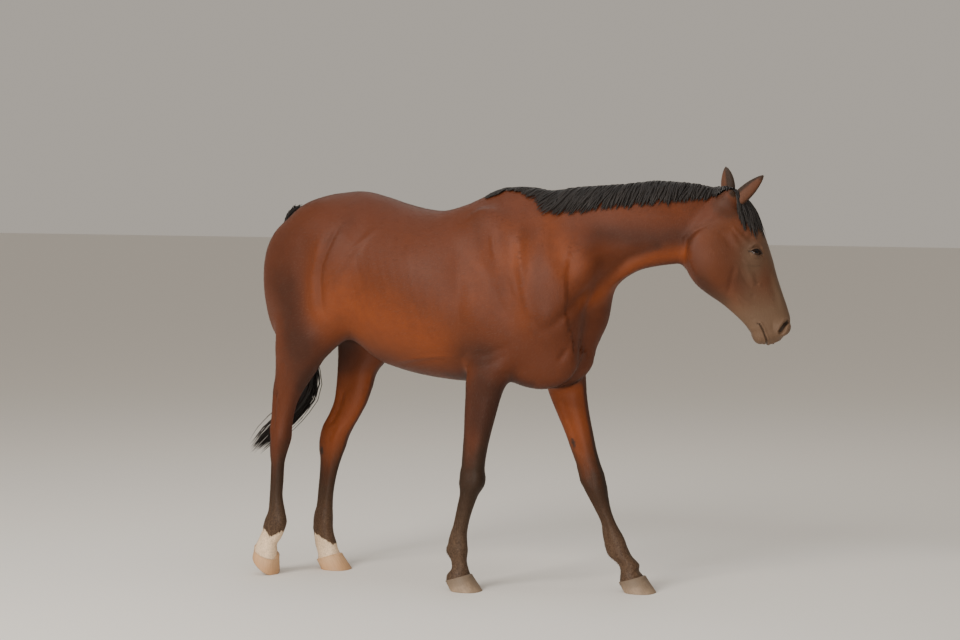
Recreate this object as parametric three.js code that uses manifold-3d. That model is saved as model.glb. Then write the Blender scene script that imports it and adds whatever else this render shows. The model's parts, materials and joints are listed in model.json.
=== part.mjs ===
// A life-size horse, standing still in the middle of a walking stride, in millimetres, +Z up.
// The body is one smooth shape, blended from lofts (trunk, neck, head, legs) and muscle masses.
// It is turned into a mesh, thinned, and parted by thin cuts into the nodes of the animal.
import * as THREE from "three";
import { mergeVertices } from "three/addons/utils/BufferGeometryUtils.js";
import Module from "manifold-3d";

const gridCell = 11; // spacing of the grid that the body's surface is found on
const bodyTriangles = 4600; // triangles left in the whole body before it is parted
const partingGap = 0.4; // width of the cuts between neighbours
const headShare = 5; // how much more a curve on the head counts than one on the trunk
const legShare = 3; // the same for the lower legs
const lowerLegTop = 620; // height under which a leg counts as lower leg

const neckOrigin = [430, 0, 0]; // start of the neck's chord, which runs level to the poll
const neckYaw = 17; // degrees that the chord is turned to the horse's left
const pollOrigin = [1291, 250, 1619]; // upper end of the face line
const headYaw = 35; // degrees that the head is turned to the horse's left
const headPitch = 70.5; // degrees of the face line below the horizontal

const eyeRadius = 23;
const eyePlace = [246, 82, 79]; // down the face, behind the face line, to each side
const earLength = 158;

// Sections of the trunk, neck and head, from the first end to the last, each written as
// [along, low, middle, high, half width, roundness low, roundness high, sideways].
// In the head, low is the face line and high is the jaw.
const trunkSections = [
  [-640, 1240, 1345, 1450, 70, 2.0, 2.0, 0],
  [-590, 1140, 1335, 1508, 130, 2.0, 2.0, 0],
  [-530, 1090, 1320, 1548, 175, 2.0, 2.0, 0],
  [-450, 1060, 1300, 1576, 212, 2.0, 1.9, 0],
  [-360, 1020, 1285, 1590, 238, 2.0, 1.9, 0],
  [-280, 965, 1265, 1594, 248, 2.0, 1.95, 0],
  [-185, 898, 1235, 1574, 254, 2.0, 2.0, 0],
  [-90, 868, 1205, 1546, 268, 2.0, 2.05, 0],
  [0, 850, 1190, 1526, 280, 2.0, 2.05, 0],
  [95, 838, 1180, 1519, 284, 2.0, 2.0, 0],
  [200, 832, 1165, 1545, 272, 2.0, 1.8, 0],
  [300, 838, 1150, 1584, 248, 2.0, 1.6, 0],
  [400, 842, 1150, 1590, 218, 2.0, 1.5, 0],
  [500, 852, 1155, 1568, 190, 2.1, 1.55, 0],
  [600, 890, 1165, 1480, 165, 2.2, 1.8, 0],
  [680, 985, 1180, 1370, 120, 2.2, 2.0, 0],
];
const neckSections = [
  [-40, 980, 1230, 1562, 168, 2.0, 1.7, 0],
  [110, 1050, 1290, 1584, 150, 2.0, 1.6, -24],
  [220, 1140, 1330, 1602, 124, 2.0, 1.6, -44],
  [330, 1216, 1385, 1612, 99, 2.0, 1.6, -58],
  [440, 1274, 1430, 1619, 84, 2.0, 1.65, -64],
  [550, 1303, 1460, 1630, 76, 2.1, 1.75, -60],
  [650, 1314, 1480, 1624, 72, 2.2, 1.85, -46],
  [740, 1316, 1490, 1612, 72, 2.2, 2.0, -26],
  [800, 1335, 1490, 1592, 66, 2.2, 2.0, -8],
];
const headSections = [
  [-8, 70, 110, 150, 44, 2.0, 2.0, 0],
  [30, 38, 110, 210, 68, 2.0, 2.0, 0],
  [90, 12, 104, 290, 86, 2.2, 2.2, 0],
  [150, 2, 96, 322, 95, 2.4, 2.4, 0],
  [205, 0, 90, 332, 99, 2.5, 2.5, 0],
  [260, 0, 90, 330, 95, 2.5, 2.6, 0],
  [310, 0, 94, 311, 82, 2.4, 2.6, 0],
  [352, 2, 98, 284, 69, 2.3, 2.5, 0],
  [400, 3, 98, 248, 59, 2.2, 2.4, 0],
  [450, 3, 95, 218, 51, 2.2, 2.3, 0],
  [505, 3, 92, 190, 48, 2.2, 2.3, 0],
  [550, 8, 92, 174, 50, 2.3, 2.4, 0],
  [588, 30, 96, 158, 46, 2.3, 2.4, 0],
  [614, 70, 104, 128, 24, 2.1, 2.1, 0],
];

// Level sections of each leg, from the body down to the hoof, each written as
// [height, forward, sideways, depth behind, depth in front, half width].
const legSections = {
  foreRight: [
    [1010, 392, -140, 70, 75, 50],
    [930, 378, -150, 92, 92, 62],
    [860, 358, -150, 88, 88, 64],
    [784, 336, -141, 75, 74, 56],
    [710, 319, -135, 66, 66, 51],
    [644, 305, -129, 58, 58, 46],
    [560, 289, -125, 51, 52, 42],
    [490, 279, -121, 48, 50, 43],
    [430, 274, -118, 50, 53, 47],
    [388, 259, -115, 39, 40, 38],
    [345, 244, -113, 36, 36, 31],
    [284, 226, -110, 34, 32, 28],
    [228, 213, -107, 37, 33, 28],
    [192, 208, -106, 45, 38, 32],
    [160, 206, -106, 53, 42, 35],
    [118, 211, -106, 36, 33, 30],
    [85, 214, -106, 37, 37, 34],
    [62, 209, -105, 50, 48, 45],
    [20, 210, -105, 53, 51, 48],
  ],
  foreLeft: [
    [1010, 535, 140, 75, 78, 50],
    [930, 542, 150, 95, 95, 62],
    [860, 552, 152, 90, 92, 64],
    [780, 570, 152, 80, 80, 56],
    [705, 592, 153, 69, 69, 51],
    [635, 615, 154, 60, 61, 46],
    [560, 638, 155, 54, 55, 42],
    [480, 666, 157, 50, 52, 43],
    [420, 684, 158, 50, 52, 46],
    [375, 700, 160, 43, 43, 39],
    [335, 715, 161, 36, 37, 30],
    [273, 743, 164, 33, 32, 26],
    [212, 768, 167, 46, 43, 30],
    [170, 784, 169, 56, 43, 34],
    [140, 800, 170, 56, 44, 36],
    [110, 828, 172, 46, 46, 34],
    [85, 833, 173, 40, 40, 36],
    [62, 842, 175, 50, 48, 45],
    [20, 843, 175, 53, 51, 48],
  ],
  hindRight: [
    [1060, -475, -170, 110, 105, 70],
    [960, -486, -184, 110, 116, 74],
    [893, -497, -174, 108, 110, 64],
    [840, -520, -166, 92, 92, 56],
    [780, -553, -157, 74, 72, 48],
    [716, -577, -149, 60, 55, 42],
    [660, -588, -145, 56, 46, 40],
    [615, -596, -143, 55, 45, 42],
    [575, -600, -142, 48, 45, 42],
    [530, -610, -140, 38, 40, 37],
    [480, -618, -139, 31, 33, 29],
    [400, -624, -137, 31, 31, 25],
    [326, -629, -136, 32, 31, 25],
    [265, -629, -134, 40, 42, 31],
    [225, -634, -133, 49, 54, 37],
    [190, -642, -133, 54, 50, 38],
    [155, -660, -132, 53, 50, 36],
    [128, -678, -132, 48, 48, 38],
    [104, -684, -131, 50, 50, 46],
    [60, -686, -131, 52, 52, 48],
  ],
  hindLeft: [
    [1060, -350, 175, 150, 125, 70],
    [960, -352, 182, 158, 112, 76],
    [890, -367, 172, 138, 90, 68],
    [838, -388, 160, 114, 72, 58],
    [770, -406, 148, 96, 72, 50],
    [704, -425, 138, 84, 70, 45],
    [650, -449, 131, 82, 66, 42],
    [605, -472, 127, 84, 62, 43],
    [565, -488, 125, 80, 56, 43],
    [515, -503, 122, 68, 55, 38],
    [470, -514, 121, 54, 48, 31],
    [420, -521, 120, 48, 38, 27],
    [340, -533, 119, 44, 31, 26],
    [265, -541, 118, 44, 32, 28],
    [210, -546, 118, 50, 37, 34],
    [175, -548, 118, 53, 38, 36],
    [145, -543, 118, 54, 38, 35],
    [110, -534, 118, 58, 41, 36],
    [85, -528, 118, 58, 41, 38],
    [62, -525, 118, 50, 48, 45],
    [20, -524, 118, 53, 51, 48],
  ],
};
const legTurn = { foreRight: 0, foreLeft: 0, hindRight: -10, hindLeft: 0 };
const legBlend = { foreRight: 45, foreLeft: 45, hindRight: 60, hindLeft: 60 };

// Muscle masses of one side, given for the left and mirrored, each written as
// [x, y, z, radius along, radius sideways, radius across, axis x, axis y, axis z, blend,
//  share of the leg's swing in the place, share in the axis].
const foreMasses = [
  [486, 126, 1300, 265, 68, 118, 300, 0, -400, 80, 1, 0], // shoulder blade
  [426, 158, 1090, 175, 62, 110, 150, 0, -190, 80, 1.8, 0], // upper arm
  [643, 108, 1140, 92, 82, 130, 1, 0, 0, 100, 1, 0], // point of the shoulder
  [672, 62, 1105, 60, 62, 105, 1, 0, 0, 80, 0.5, 0], // breast
  [668, 70, 1268, 150, 62, 90, 260, 50, 170, 120, 0.6, 0], // root of the neck
  [560, 70, 932, 150, 75, 112, 1, 0, 0, 90, 0, 0], // chest between the forelegs
];
const hindMasses = [
  [-400, 118, 1380, 190, 125, 165, 1, 0, 0, 80, 0, 0], // croup
  [-473, 150, 1185, 245, 112, 140, 172, 30, -260, 80, 0.16, 1], // outer thigh
  [-299, 168, 1190, 250, 80, 100, -57, 10, -470, 90, 0.5, 1], // front of the thigh
  [-583, 98, 1200, 98, 95, 240, 1, 0, 0, 70, 0.1, 0], // buttock
  [-430, 85, 1120, 120, 80, 130, 1, 0, 0, 80, 0.5, 0], // inner thigh
];
const swing = { foreRight: -23, foreLeft: 23, hindRight: -57, hindLeft: 57 };

// Masses on the head, mirrored unless they lie on the middle, each written as
// [down the face, sideways, behind the face line, three radii, blend].
const headMasses = [
  [236, 76, 80, 48, 20, 44, 20], // rim of the eye socket
  [205, 55, 225, 110, 36, 100, 30], // cheek
  [300, 62, 118, 62, 14, 13, 16], // facial crest
  [566, 36, 56, 34, 20, 34, 20], // nostril
  [574, 0, 150, 30, 32, 24, 20], // chin
  [18, 52, 88, 36, 26, 36, 30], // root of the ear
];

// Hooves: [forward, sideways, turn, pitch about the toe]. The place is the tip of the toe.
const hoofPlaces = {
  foreRight: [307, -105, 0, 0],
  foreLeft: [942, 175, 0, 0],
  hindRight: [-642, -128, -10, 40],
  hindLeft: [-425, 118, 0, 0],
};
const hoofLength = 128;
const hoofHalfWidth = 62;
const toeHeight = 68;
const heelHeight = 36;
const wallAngle = 55; // degrees between the sole and the wall
const coronetHalfWidth = 48;
const toeFlat = 4; // how deep the raised hoof's toe is cut away by the floor

// Ears: the place of the root in the head, the way each points, and the way it opens.
const ears = {
  right: { root: [44, -56, 86], axis: [0.635, 0.324, 0.7], opening: [-0.05, 0.85, -0.45] },
  left: { root: [22, 54, 66], axis: [-0.354, 0.583, 0.73], opening: [0.128, 0.851, 0] },
};
// Sections of an ear: [share of its length, half width, depth of the back, depth of the hollow].
const earSections = [
  [-0.12, 21, 20, -16],
  [0.06, 28, 24, -14],
  [0.16, 33, 24, 2],
  [0.32, 35, 22, 11],
  [0.5, 33, 19, 10],
  [0.68, 27, 15, 7],
  [0.84, 18, 10, 4],
  [0.95, 9, 5, 1],
  [1.0, 2, 2, -1],
];

// Mane: [along the neck's chord, length over the right side, thickness].
const maneSections = [
  [-110, 26, 4],
  [-40, 45, 7],
  [30, 70, 11],
  [90, 108, 15],
  [170, 112, 17],
  [260, 100, 18],
  [360, 92, 18],
  [460, 96, 18],
  [560, 98, 17],
  [660, 90, 15],
  [740, 74, 12],
  [795, 50, 9],
];
// Forelock: [down the face, half angle about the middle of the head, thickness].
const forelockSections = [
  [-6, 24, 8],
  [25, 26, 13],
  [60, 30, 14],
  [95, 28, 12],
  [130, 21, 8],
  [165, 10, 4],
];
// Tail: [forward, sideways, height, half width, half depth].
const tailSections = [
  [-556, 0, 1508, 24, 20],
  [-598, 2, 1522, 31, 27],
  [-636, 6, 1492, 35, 29],
  [-662, 16, 1410, 36, 30],
  [-702, 40, 1290, 38, 30],
  [-720, 75, 1150, 40, 30],
  [-698, 130, 1000, 46, 30],
  [-664, 172, 870, 52, 30],
  [-650, 165, 760, 58, 28],
  [-686, 86, 655, 58, 26],
  [-732, -22, 575, 48, 20],
  [-764, -112, 505, 26, 12],
];

// ---- numbers, vectors and frames

const far = 400;
const radians = THREE.MathUtils.degToRad;
const vec = (x, y, z) => new THREE.Vector3(x, y, z);

// A frame is an origin and three unit axes u, v, w.
function frame(origin, u, v, w) {
  return { origin, u, v, w };
}

function levelFrame(origin, yaw) {
  const a = radians(yaw);
  const ahead = vec(Math.cos(a), Math.sin(a), 0);
  return frame(origin, ahead, vec(-Math.sin(a), Math.cos(a), 0), vec(0, 0, 1));
}

// u lies along the axis, v keeps close to the sideways direction of the horse.
function axisFrame(origin, axis) {
  const u = axis.clone().normalize();
  const w = u.clone().cross(vec(0, 1, 0)).normalize();
  return frame(origin, u, w.clone().cross(u), w);
}

// u runs down the face, v to the horse's left, w from the face line to the jaw.
function headFrame() {
  const ahead = vec(Math.cos(radians(headYaw)), Math.sin(radians(headYaw)), 0);
  const pitch = radians(headPitch);
  const up = vec(0, 0, 1);
  const u = ahead.clone().multiplyScalar(Math.cos(pitch)).addScaledVector(up, -Math.sin(pitch));
  const w = ahead.clone().multiplyScalar(-Math.sin(pitch)).addScaledVector(up, -Math.cos(pitch));
  return frame(vec(...pollOrigin), u, u.clone().cross(w), w);
}

function placeIn(f, u, v, w) {
  return f.origin.clone().addScaledVector(f.u, u).addScaledVector(f.v, v).addScaledVector(f.w, w);
}

const worldFrame = levelFrame(vec(0, 0, 0), 0);
const neckFrame = levelFrame(vec(...neckOrigin), neckYaw);
const faceFrame = headFrame();

// ---- the field: a distance to the surface at each point of a grid, negative inside

class Field {
  constructor(low, high, cell) {
    this.low = low;
    this.cell = cell;
    this.count = [0, 1, 2].map((i) => Math.ceil((high[i] - low[i]) / cell) + 1);
    this.values = new Float32Array(this.count[0] * this.count[1] * this.count[2]).fill(far);
  }

  // Joins a shape that lies in a box of a frame, rounding the joint over the blend's width.
  join(f, low, high, blend, distance) {
    const reach = blend + 30;
    const box = new THREE.Box3();
    for (let i = 0; i < 8; i++) {
      const corner = [0, 1, 2].map((k) => ((i >> k) & 1 ? high[k] + reach : low[k] - reach));
      box.expandByPoint(placeIn(f, ...corner));
    }
    const [from, to] = [box.min.toArray(), box.max.toArray()].map((p, end) =>
      p.map((c, k) => {
        const step = (c - this.low[k]) / this.cell;
        return Math.min(Math.max(end ? Math.ceil(step) : Math.floor(step), 0), this.count[k] - 1);
      }),
    );
    for (let k = from[2]; k <= to[2]; k++) {
      for (let j = from[1]; j <= to[1]; j++) {
        for (let i = from[0]; i <= to[0]; i++) {
          const x = this.low[0] + i * this.cell - f.origin.x;
          const y = this.low[1] + j * this.cell - f.origin.y;
          const z = this.low[2] + k * this.cell - f.origin.z;
          const u = x * f.u.x + y * f.u.y + z * f.u.z;
          const v = x * f.v.x + y * f.v.y + z * f.v.z;
          const w = x * f.w.x + y * f.w.y + z * f.w.z;
          const at = (k * this.count[1] + j) * this.count[0] + i;
          this.values[at] = smoothMin(this.values[at], distance(u, v, w), blend);
        }
      }
    }
  }

  // A surface through sections that change smoothly along u.
  // Each section is [u, v centre, w centre, half width, low side, high side, roundness x2].
  loft(f, sections, blend) {
    const at = curveThrough(sections);
    const first = sections[0][0];
    const last = sections[sections.length - 1][0];
    const reach = Math.max(...sections.map((s) => Math.max(s[3], s[4], s[5])));
    const range = (c, pick) => pick(...sections.map((s) => s[c]));
    const low = [first, range(1, Math.min) - reach, range(2, Math.min) - reach];
    const high = [last, range(1, Math.max) + reach, range(2, Math.max) + reach];
    this.join(f, low, high, blend, (u, v, w) => {
      const [cv, cw, half, below, above, roundBelow, roundAbove] = at(u);
      const a = Math.abs(v - cv);
      const b = w - cw;
      const n = b < 0 ? roundBelow : roundAbove;
      const depth = Math.abs(b) / (b < 0 ? below : above);
      const ratio = Math.pow(Math.pow(a / half, n) + Math.pow(depth, n), 1 / n);
      const length = Math.hypot(a, b);
      const d = length < 1e-3 ? -Math.min(half, below, above) : length - length / Math.max(ratio, 1e-4);
      const past = Math.max(first - u, u - last, 0);
      return past > 0 ? Math.hypot(Math.max(d, 0), past) : d;
    });
  }

  // The distance at a place, from the grid points around it.
  at(p) {
    const steps = p.toArray().map((c, k) => (c - this.low[k]) / this.cell);
    const [i, j, k] = steps.map(Math.floor);
    const [a, b, c] = [steps[0] - i, steps[1] - j, steps[2] - k];
    let sum = 0;
    for (let n = 0; n < 8; n++) {
      const [x, y, z] = [n & 1, (n >> 1) & 1, n >> 2];
      const share = (x ? a : 1 - a) * (y ? b : 1 - b) * (z ? c : 1 - c);
      sum += share * this.values[((k + z) * this.count[1] + j + y) * this.count[0] + i + x];
    }
    return sum;
  }

  // The place where a line from the inside meets the surface.
  surfaceFrom(origin, direction) {
    const step = 3;
    let before = -far;
    for (let r = 30; r < far; r += step) {
      const now = this.at(origin.clone().addScaledVector(direction, r));
      if (now > 0) return origin.clone().addScaledVector(direction, r - (step * now) / (now - before));
      before = now;
    }
    throw new Error("the line never leaves the body");
  }

  ellipsoid(f, radii, blend) {
    const [a, b, c] = radii;
    this.join(f, [-a, -b, -c], [a, b, c], blend, (u, v, w) => {
      const near = Math.hypot(u / a, v / b, w / c);
      const slope = Math.hypot(u / (a * a), v / (b * b), w / (c * c)) + 1e-9;
      return (near * (near - 1)) / slope;
    });
  }
}

function smoothMin(a, b, blend) {
  if (blend <= 0) return Math.min(a, b);
  const h = Math.max(blend - Math.abs(a - b), 0) / blend;
  return Math.min(a, b) - h * h * blend * 0.25;
}

// A smooth curve through rows, read at a value of their first column.
function curveThrough(rows) {
  const width = rows[0].length - 1;
  const rise = rows.slice(1).map((row, i) => {
    const step = row[0] - rows[i][0];
    return row.slice(1).map((value, k) => (value - rows[i][k + 1]) / step);
  });
  const slope = rows.map((row, i) => {
    if (i === 0) return rise[0];
    if (i === rows.length - 1) return rise[i - 1];
    const before = row[0] - rows[i - 1][0];
    const after = rows[i + 1][0] - row[0];
    return rise[i].map((r, k) => (rise[i - 1][k] * after + r * before) / (before + after));
  });
  const out = new Array(width);
  return (position) => {
    const x = Math.min(Math.max(position, rows[0][0]), rows[rows.length - 1][0]);
    let i = 0;
    while (i < rows.length - 2 && x > rows[i + 1][0]) i++;
    const step = rows[i + 1][0] - rows[i][0];
    const t = (x - rows[i][0]) / step;
    const ease = t * t * (3 - 2 * t);
    const start = t * (1 - t) * (1 - t) * step;
    const end = t * t * (t - 1) * step;
    for (let k = 0; k < width; k++) {
      const between = rows[i][k + 1] * (1 - ease) + rows[i + 1][k + 1] * ease;
      out[k] = between + slope[i][k] * start + slope[i + 1][k] * end;
    }
    return out;
  };
}

// ---- meshes

// One point for each cell that the surface crosses, and one face for each crossed edge.
function surfaceOf(field) {
  const [nx, ny, nz] = field.count;
  const inside = (i, j, k) => field.values[(k * ny + j) * nx + i] < 0;
  const value = (i, j, k) => field.values[(k * ny + j) * nx + i];
  const crossed = (i, j, k) => {
    const first = inside(i, j, k);
    for (let corner = 1; corner < 8; corner++) {
      if (inside(i + (corner & 1), j + ((corner >> 1) & 1), k + (corner >> 2)) !== first) return true;
    }
    return false;
  };
  const pointAt = new Int32Array(nx * ny * nz).fill(-1);
  const points = [];
  for (let k = 0; k < nz - 1; k++) {
    for (let j = 0; j < ny - 1; j++) {
      for (let i = 0; i < nx - 1; i++) {
        const sum = [0, 0, 0];
        let crossings = 0;
        if (!crossed(i, j, k)) continue;
        for (let corner = 0; corner < 8; corner++) {
          const a = [corner & 1, (corner >> 1) & 1, corner >> 2];
          for (let axis = 0; axis < 3; axis++) {
            if (a[axis]) continue;
            const b = [...a];
            b[axis] = 1;
            const start = value(i + a[0], j + a[1], k + a[2]);
            const end = value(i + b[0], j + b[1], k + b[2]);
            if (start < 0 === end < 0) continue;
            a.forEach((c, m) => (sum[m] += m === axis ? start / (start - end) : c));
            crossings++;
          }
        }
        pointAt[(k * ny + j) * nx + i] = points.length;
        points.push([i, j, k].map((c, m) => field.low[m] + field.cell * (c + sum[m] / crossings)));
      }
    }
  }
  const triangles = [];
  const step = [[1, 0, 0], [0, 1, 0], [0, 0, 1]];
  for (let k = 1; k < nz - 1; k++) {
    for (let j = 1; j < ny - 1; j++) {
      for (let i = 1; i < nx - 1; i++) {
        for (let axis = 0; axis < 3; axis++) {
          const [s, p, q] = [step[axis], step[(axis + 1) % 3], step[(axis + 2) % 3]];
          const here = inside(i, j, k);
          if (here === inside(i + s[0], j + s[1], k + s[2])) continue;
          const corner = (m, n) => {
            const [x, y, z] = [i, j, k].map((c, a) => c - m * p[a] - n * q[a]);
            return pointAt[(z * ny + y) * nx + x];
          };
          const quad = [corner(1, 1), corner(0, 1), corner(0, 0), corner(1, 0)];
          if (!here) quad.reverse();
          triangles.push([quad[0], quad[1], quad[2]], [quad[0], quad[2], quad[3]]);
        }
      }
    }
  }
  return { points, triangles };
}

// Joins the ends of the edges that cost the least shape, until few enough triangles are left.
// weight(point) says how much the shape counts at a place.
function thin(mesh, wanted, weight) {
  const points = mesh.points;
  const triangles = mesh.triangles;
  const around = points.map(() => new Set());
  triangles.forEach((t, i) => t.forEach((p) => around[p].add(i)));
  const quadrics = points.map(() => new Float64Array(10));
  const normalOf = (a, b, c) => {
    const u = [b[0] - a[0], b[1] - a[1], b[2] - a[2]];
    const v = [c[0] - a[0], c[1] - a[1], c[2] - a[2]];
    return [u[1] * v[2] - u[2] * v[1], u[2] * v[0] - u[0] * v[2], u[0] * v[1] - u[1] * v[0]];
  };
  for (const t of triangles) {
    const n = normalOf(...t.map((p) => points[p]));
    const size = Math.hypot(...n) + 1e-12;
    const [a, b, c] = n.map((x) => x / size);
    const d = -(a * points[t[0]][0] + b * points[t[0]][1] + c * points[t[0]][2]);
    const share = size * weight(points[t[0]]);
    const q = [a * a, a * b, a * c, a * d, b * b, b * c, b * d, c * c, c * d, d * d];
    for (const p of t) q.forEach((x, k) => (quadrics[p][k] += x * share));
  }
  const age = new Int32Array(points.length);
  const heap = [];
  const lift = (entry) => {
    let i = heap.push(entry) - 1;
    while (i > 0) {
      const parent = (i - 1) >> 1;
      if (heap[parent].cost <= entry.cost) break;
      heap[i] = heap[parent];
      i = parent;
    }
    heap[i] = entry;
  };
  const drop = () => {
    const top = heap[0];
    const last = heap.pop();
    if (!heap.length) return top;
    let i = 0;
    for (;;) {
      let child = 2 * i + 1;
      if (child >= heap.length) break;
      if (child + 1 < heap.length && heap[child + 1].cost < heap[child].cost) child++;
      if (heap[child].cost >= last.cost) break;
      heap[i] = heap[child];
      i = child;
    }
    heap[i] = last;
    return top;
  };
  const offer = (a, b) => {
    const q = quadrics[a].map((x, k) => x + quadrics[b][k]);
    const costAt = ([x, y, z]) =>
      x * (q[0] * x + 2 * (q[1] * y + q[2] * z + q[3])) +
      y * (q[4] * y + 2 * (q[5] * z + q[6])) +
      z * (q[7] * z + 2 * q[8]) +
      q[9];
    const middle = points[a].map((x, k) => (x + points[b][k]) / 2);
    const reach = Math.hypot(...points[a].map((x, k) => x - points[b][k]));
    const best = lowestPoint(q);
    const choices = [middle, points[a], points[b]];
    if (best && Math.hypot(...best.map((x, k) => x - middle[k])) < reach) choices.unshift(best);
    const costs = choices.map(costAt);
    const pick = costs.indexOf(Math.min(...costs));
    const cost = Math.max(costs[pick], 0) + 1e-3 * reach * reach;
    lift({ cost, a, b, ages: [age[a], age[b]], place: choices[pick] });
  };
  const neighbours = (p) => {
    const out = new Set();
    for (const t of around[p]) triangles[t].forEach((q) => q !== p && out.add(q));
    return out;
  };
  const turns = (p, other, place) => {
    for (const t of around[p]) {
      if (triangles[t].includes(other)) continue;
      const before = triangles[t].map((q) => points[q]);
      const after = triangles[t].map((q) => (q === p ? place : points[q]));
      const n = normalOf(...before);
      const m = normalOf(...after);
      const dot = n[0] * m[0] + n[1] * m[1] + n[2] * m[2];
      if (dot < 0.3 * Math.hypot(...n) * Math.hypot(...m) || Math.hypot(...m) < 1) return true;
    }
    return false;
  };
  points.forEach((_, a) => neighbours(a).forEach((b) => a < b && offer(a, b)));
  let left = triangles.length;
  while (left > wanted && heap.length) {
    const { a, b, ages, place } = drop();
    if (age[a] !== ages[0] || age[b] !== ages[1]) continue;
    const shared = [...neighbours(a)].filter((p) => neighbours(b).has(p));
    if (shared.length !== 2 || turns(a, b, place) || turns(b, a, place)) continue;
    points[a] = place;
    quadrics[b].forEach((x, k) => (quadrics[a][k] += x));
    for (const t of around[b]) {
      if (triangles[t].includes(a)) {
        triangles[t].forEach((p) => p !== b && around[p].delete(t));
        triangles[t] = null;
        left--;
      } else {
        triangles[t] = triangles[t].map((p) => (p === b ? a : p));
        around[a].add(t);
      }
    }
    around[b].clear();
    age[b] = -1;
    age[a]++;
    neighbours(a).forEach((p) => offer(a, p));
  }
  return { points, triangles: triangles.filter((t) => t) };
}

// The point where a quadric is lowest, or nothing where it is flat.
function lowestPoint(q) {
  const m = new THREE.Matrix3().set(q[0], q[1], q[2], q[1], q[4], q[5], q[2], q[5], q[7]);
  const size = q[0] + q[4] + q[7];
  if (Math.abs(m.determinant()) < 1e-5 * size * size * size) return null;
  return vec(-q[3], -q[6], -q[8]).applyMatrix3(m.invert()).toArray();
}

// A closed skin over rings that have the same number of points, with a flat cap at each end.
function skinOver(rings) {
  const count = rings[0].length;
  const points = rings.flat().map((p) => p.toArray());
  const triangles = [];
  for (let r = 0; r < rings.length - 1; r++) {
    for (let i = 0; i < count; i++) {
      const [a, b] = [r * count + i, r * count + ((i + 1) % count)];
      triangles.push([a, b, b + count], [a, b + count, a + count]);
    }
  }
  [rings[0], rings[rings.length - 1]].forEach((ring, end) => {
    const middle = points.length;
    const start = end ? (rings.length - 1) * count : 0;
    const centre = ring.reduce((sum, p) => sum.add(p), vec(0, 0, 0)).divideScalar(count);
    points.push(centre.toArray());
    for (let i = 0; i < count; i++) {
      const pair = [start + i, start + ((i + 1) % count)];
      triangles.push(end ? [middle, ...pair] : [middle, ...pair.reverse()]);
    }
  });
  return { points, triangles };
}

// ---- solids

const wasm = await Module();
wasm.setup();

function solidOf(mesh) {
  const made = (triangles) =>
    new wasm.Manifold(
      new wasm.Mesh({
        numProp: 3,
        vertProperties: new Float32Array(mesh.points.flat()),
        triVerts: new Uint32Array(triangles.flat()),
      }),
    );
  const solid = made(mesh.triangles);
  return solid.volume() > 0 ? solid : made(mesh.triangles.map((t) => [...t].reverse()));
}

function solidOfGeometry(geometry, matrix = new THREE.Matrix4()) {
  const bare = geometry.clone().applyMatrix4(matrix);
  bare.deleteAttribute("normal");
  bare.deleteAttribute("uv");
  const merged = mergeVertices(bare, 1e-3);
  return new wasm.Manifold(
    new wasm.Mesh({
      numProp: 3,
      vertProperties: new Float32Array(merged.attributes.position.array),
      triVerts: new Uint32Array(merged.index.array),
    }),
  );
}

// A box whose top lies in the plane through a point, and which reaches down from it.
function boxUnder(centre, normal, width, depth) {
  const turn = new THREE.Quaternion().setFromUnitVectors(vec(0, 0, 1), normal.clone().normalize());
  const matrix = new THREE.Matrix4().compose(centre, turn, vec(1, 1, 1));
  const box = new THREE.BoxGeometry(width[0], width[1], depth);
  return solidOfGeometry(box.translate(0, 0, -depth / 2), matrix);
}

// Cuts one solid where another goes into it, with a gap left in each of the directions.
function fitOn(piece, base, directions) {
  const cut = directions.reduce((rest, direction) => {
    const gap = direction.clone().normalize().multiplyScalar(partingGap);
    return rest.subtract(base.translate(gap.toArray()));
  }, piece);
  return largest(cut);
}

function largest(solid) {
  return solid.decompose().reduce((best, s) => (s.volume() > best.volume() ? s : best));
}

function meshOf(name, solid, look) {
  const made = solid.getMesh();
  const geometry = new THREE.BufferGeometry();
  const places = new Float32Array(made.vertProperties);
  geometry.setAttribute("position", new THREE.BufferAttribute(places, 3));
  geometry.setIndex(new THREE.BufferAttribute(new Uint32Array(made.triVerts), 1));
  geometry.computeVertexNormals();
  const mesh = new THREE.Mesh(geometry, new THREE.MeshStandardMaterial(look));
  mesh.name = name;
  return mesh;
}

// ---- the body

// Rows of the trunk, neck or head as sections for a loft.
const loftRows = (rows) =>
  rows.map(([u, low, middle, high, half, roundLow, roundHigh, v]) => [
    u, v, middle, half, middle - low, high - middle, roundLow, roundHigh,
  ]);

function addLeg(field, leg) {
  const rows = legSections[leg];
  const a = radians(legTurn[leg]);
  const origin = vec(rows[2][1], rows[2][2], 0);
  const ahead = vec(Math.cos(a), Math.sin(a), 0);
  const f = frame(origin, vec(0, 0, 1), vec(-Math.sin(a), Math.cos(a), 0), ahead);
  const sections = rows.map(([z, x, y, behind, inFront, half]) => {
    const offset = vec(x, y, 0).sub(origin);
    return [z, offset.dot(f.v), offset.dot(f.w), half, behind, inFront, 2.2, 2.2];
  });
  field.loft(f, sections.reverse(), legBlend[leg]);
}

function addMasses(field, masses, side, shift) {
  for (const [x, y, z, along, sideways, across, ax, ay, az, blend, share, axisShare] of masses) {
    const place = vec(x + share * shift, side * y, z);
    const axis = vec(ax + axisShare * shift, side * ay, az);
    field.ellipsoid(axisFrame(place, axis), [along, sideways, across], blend);
  }
}

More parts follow.
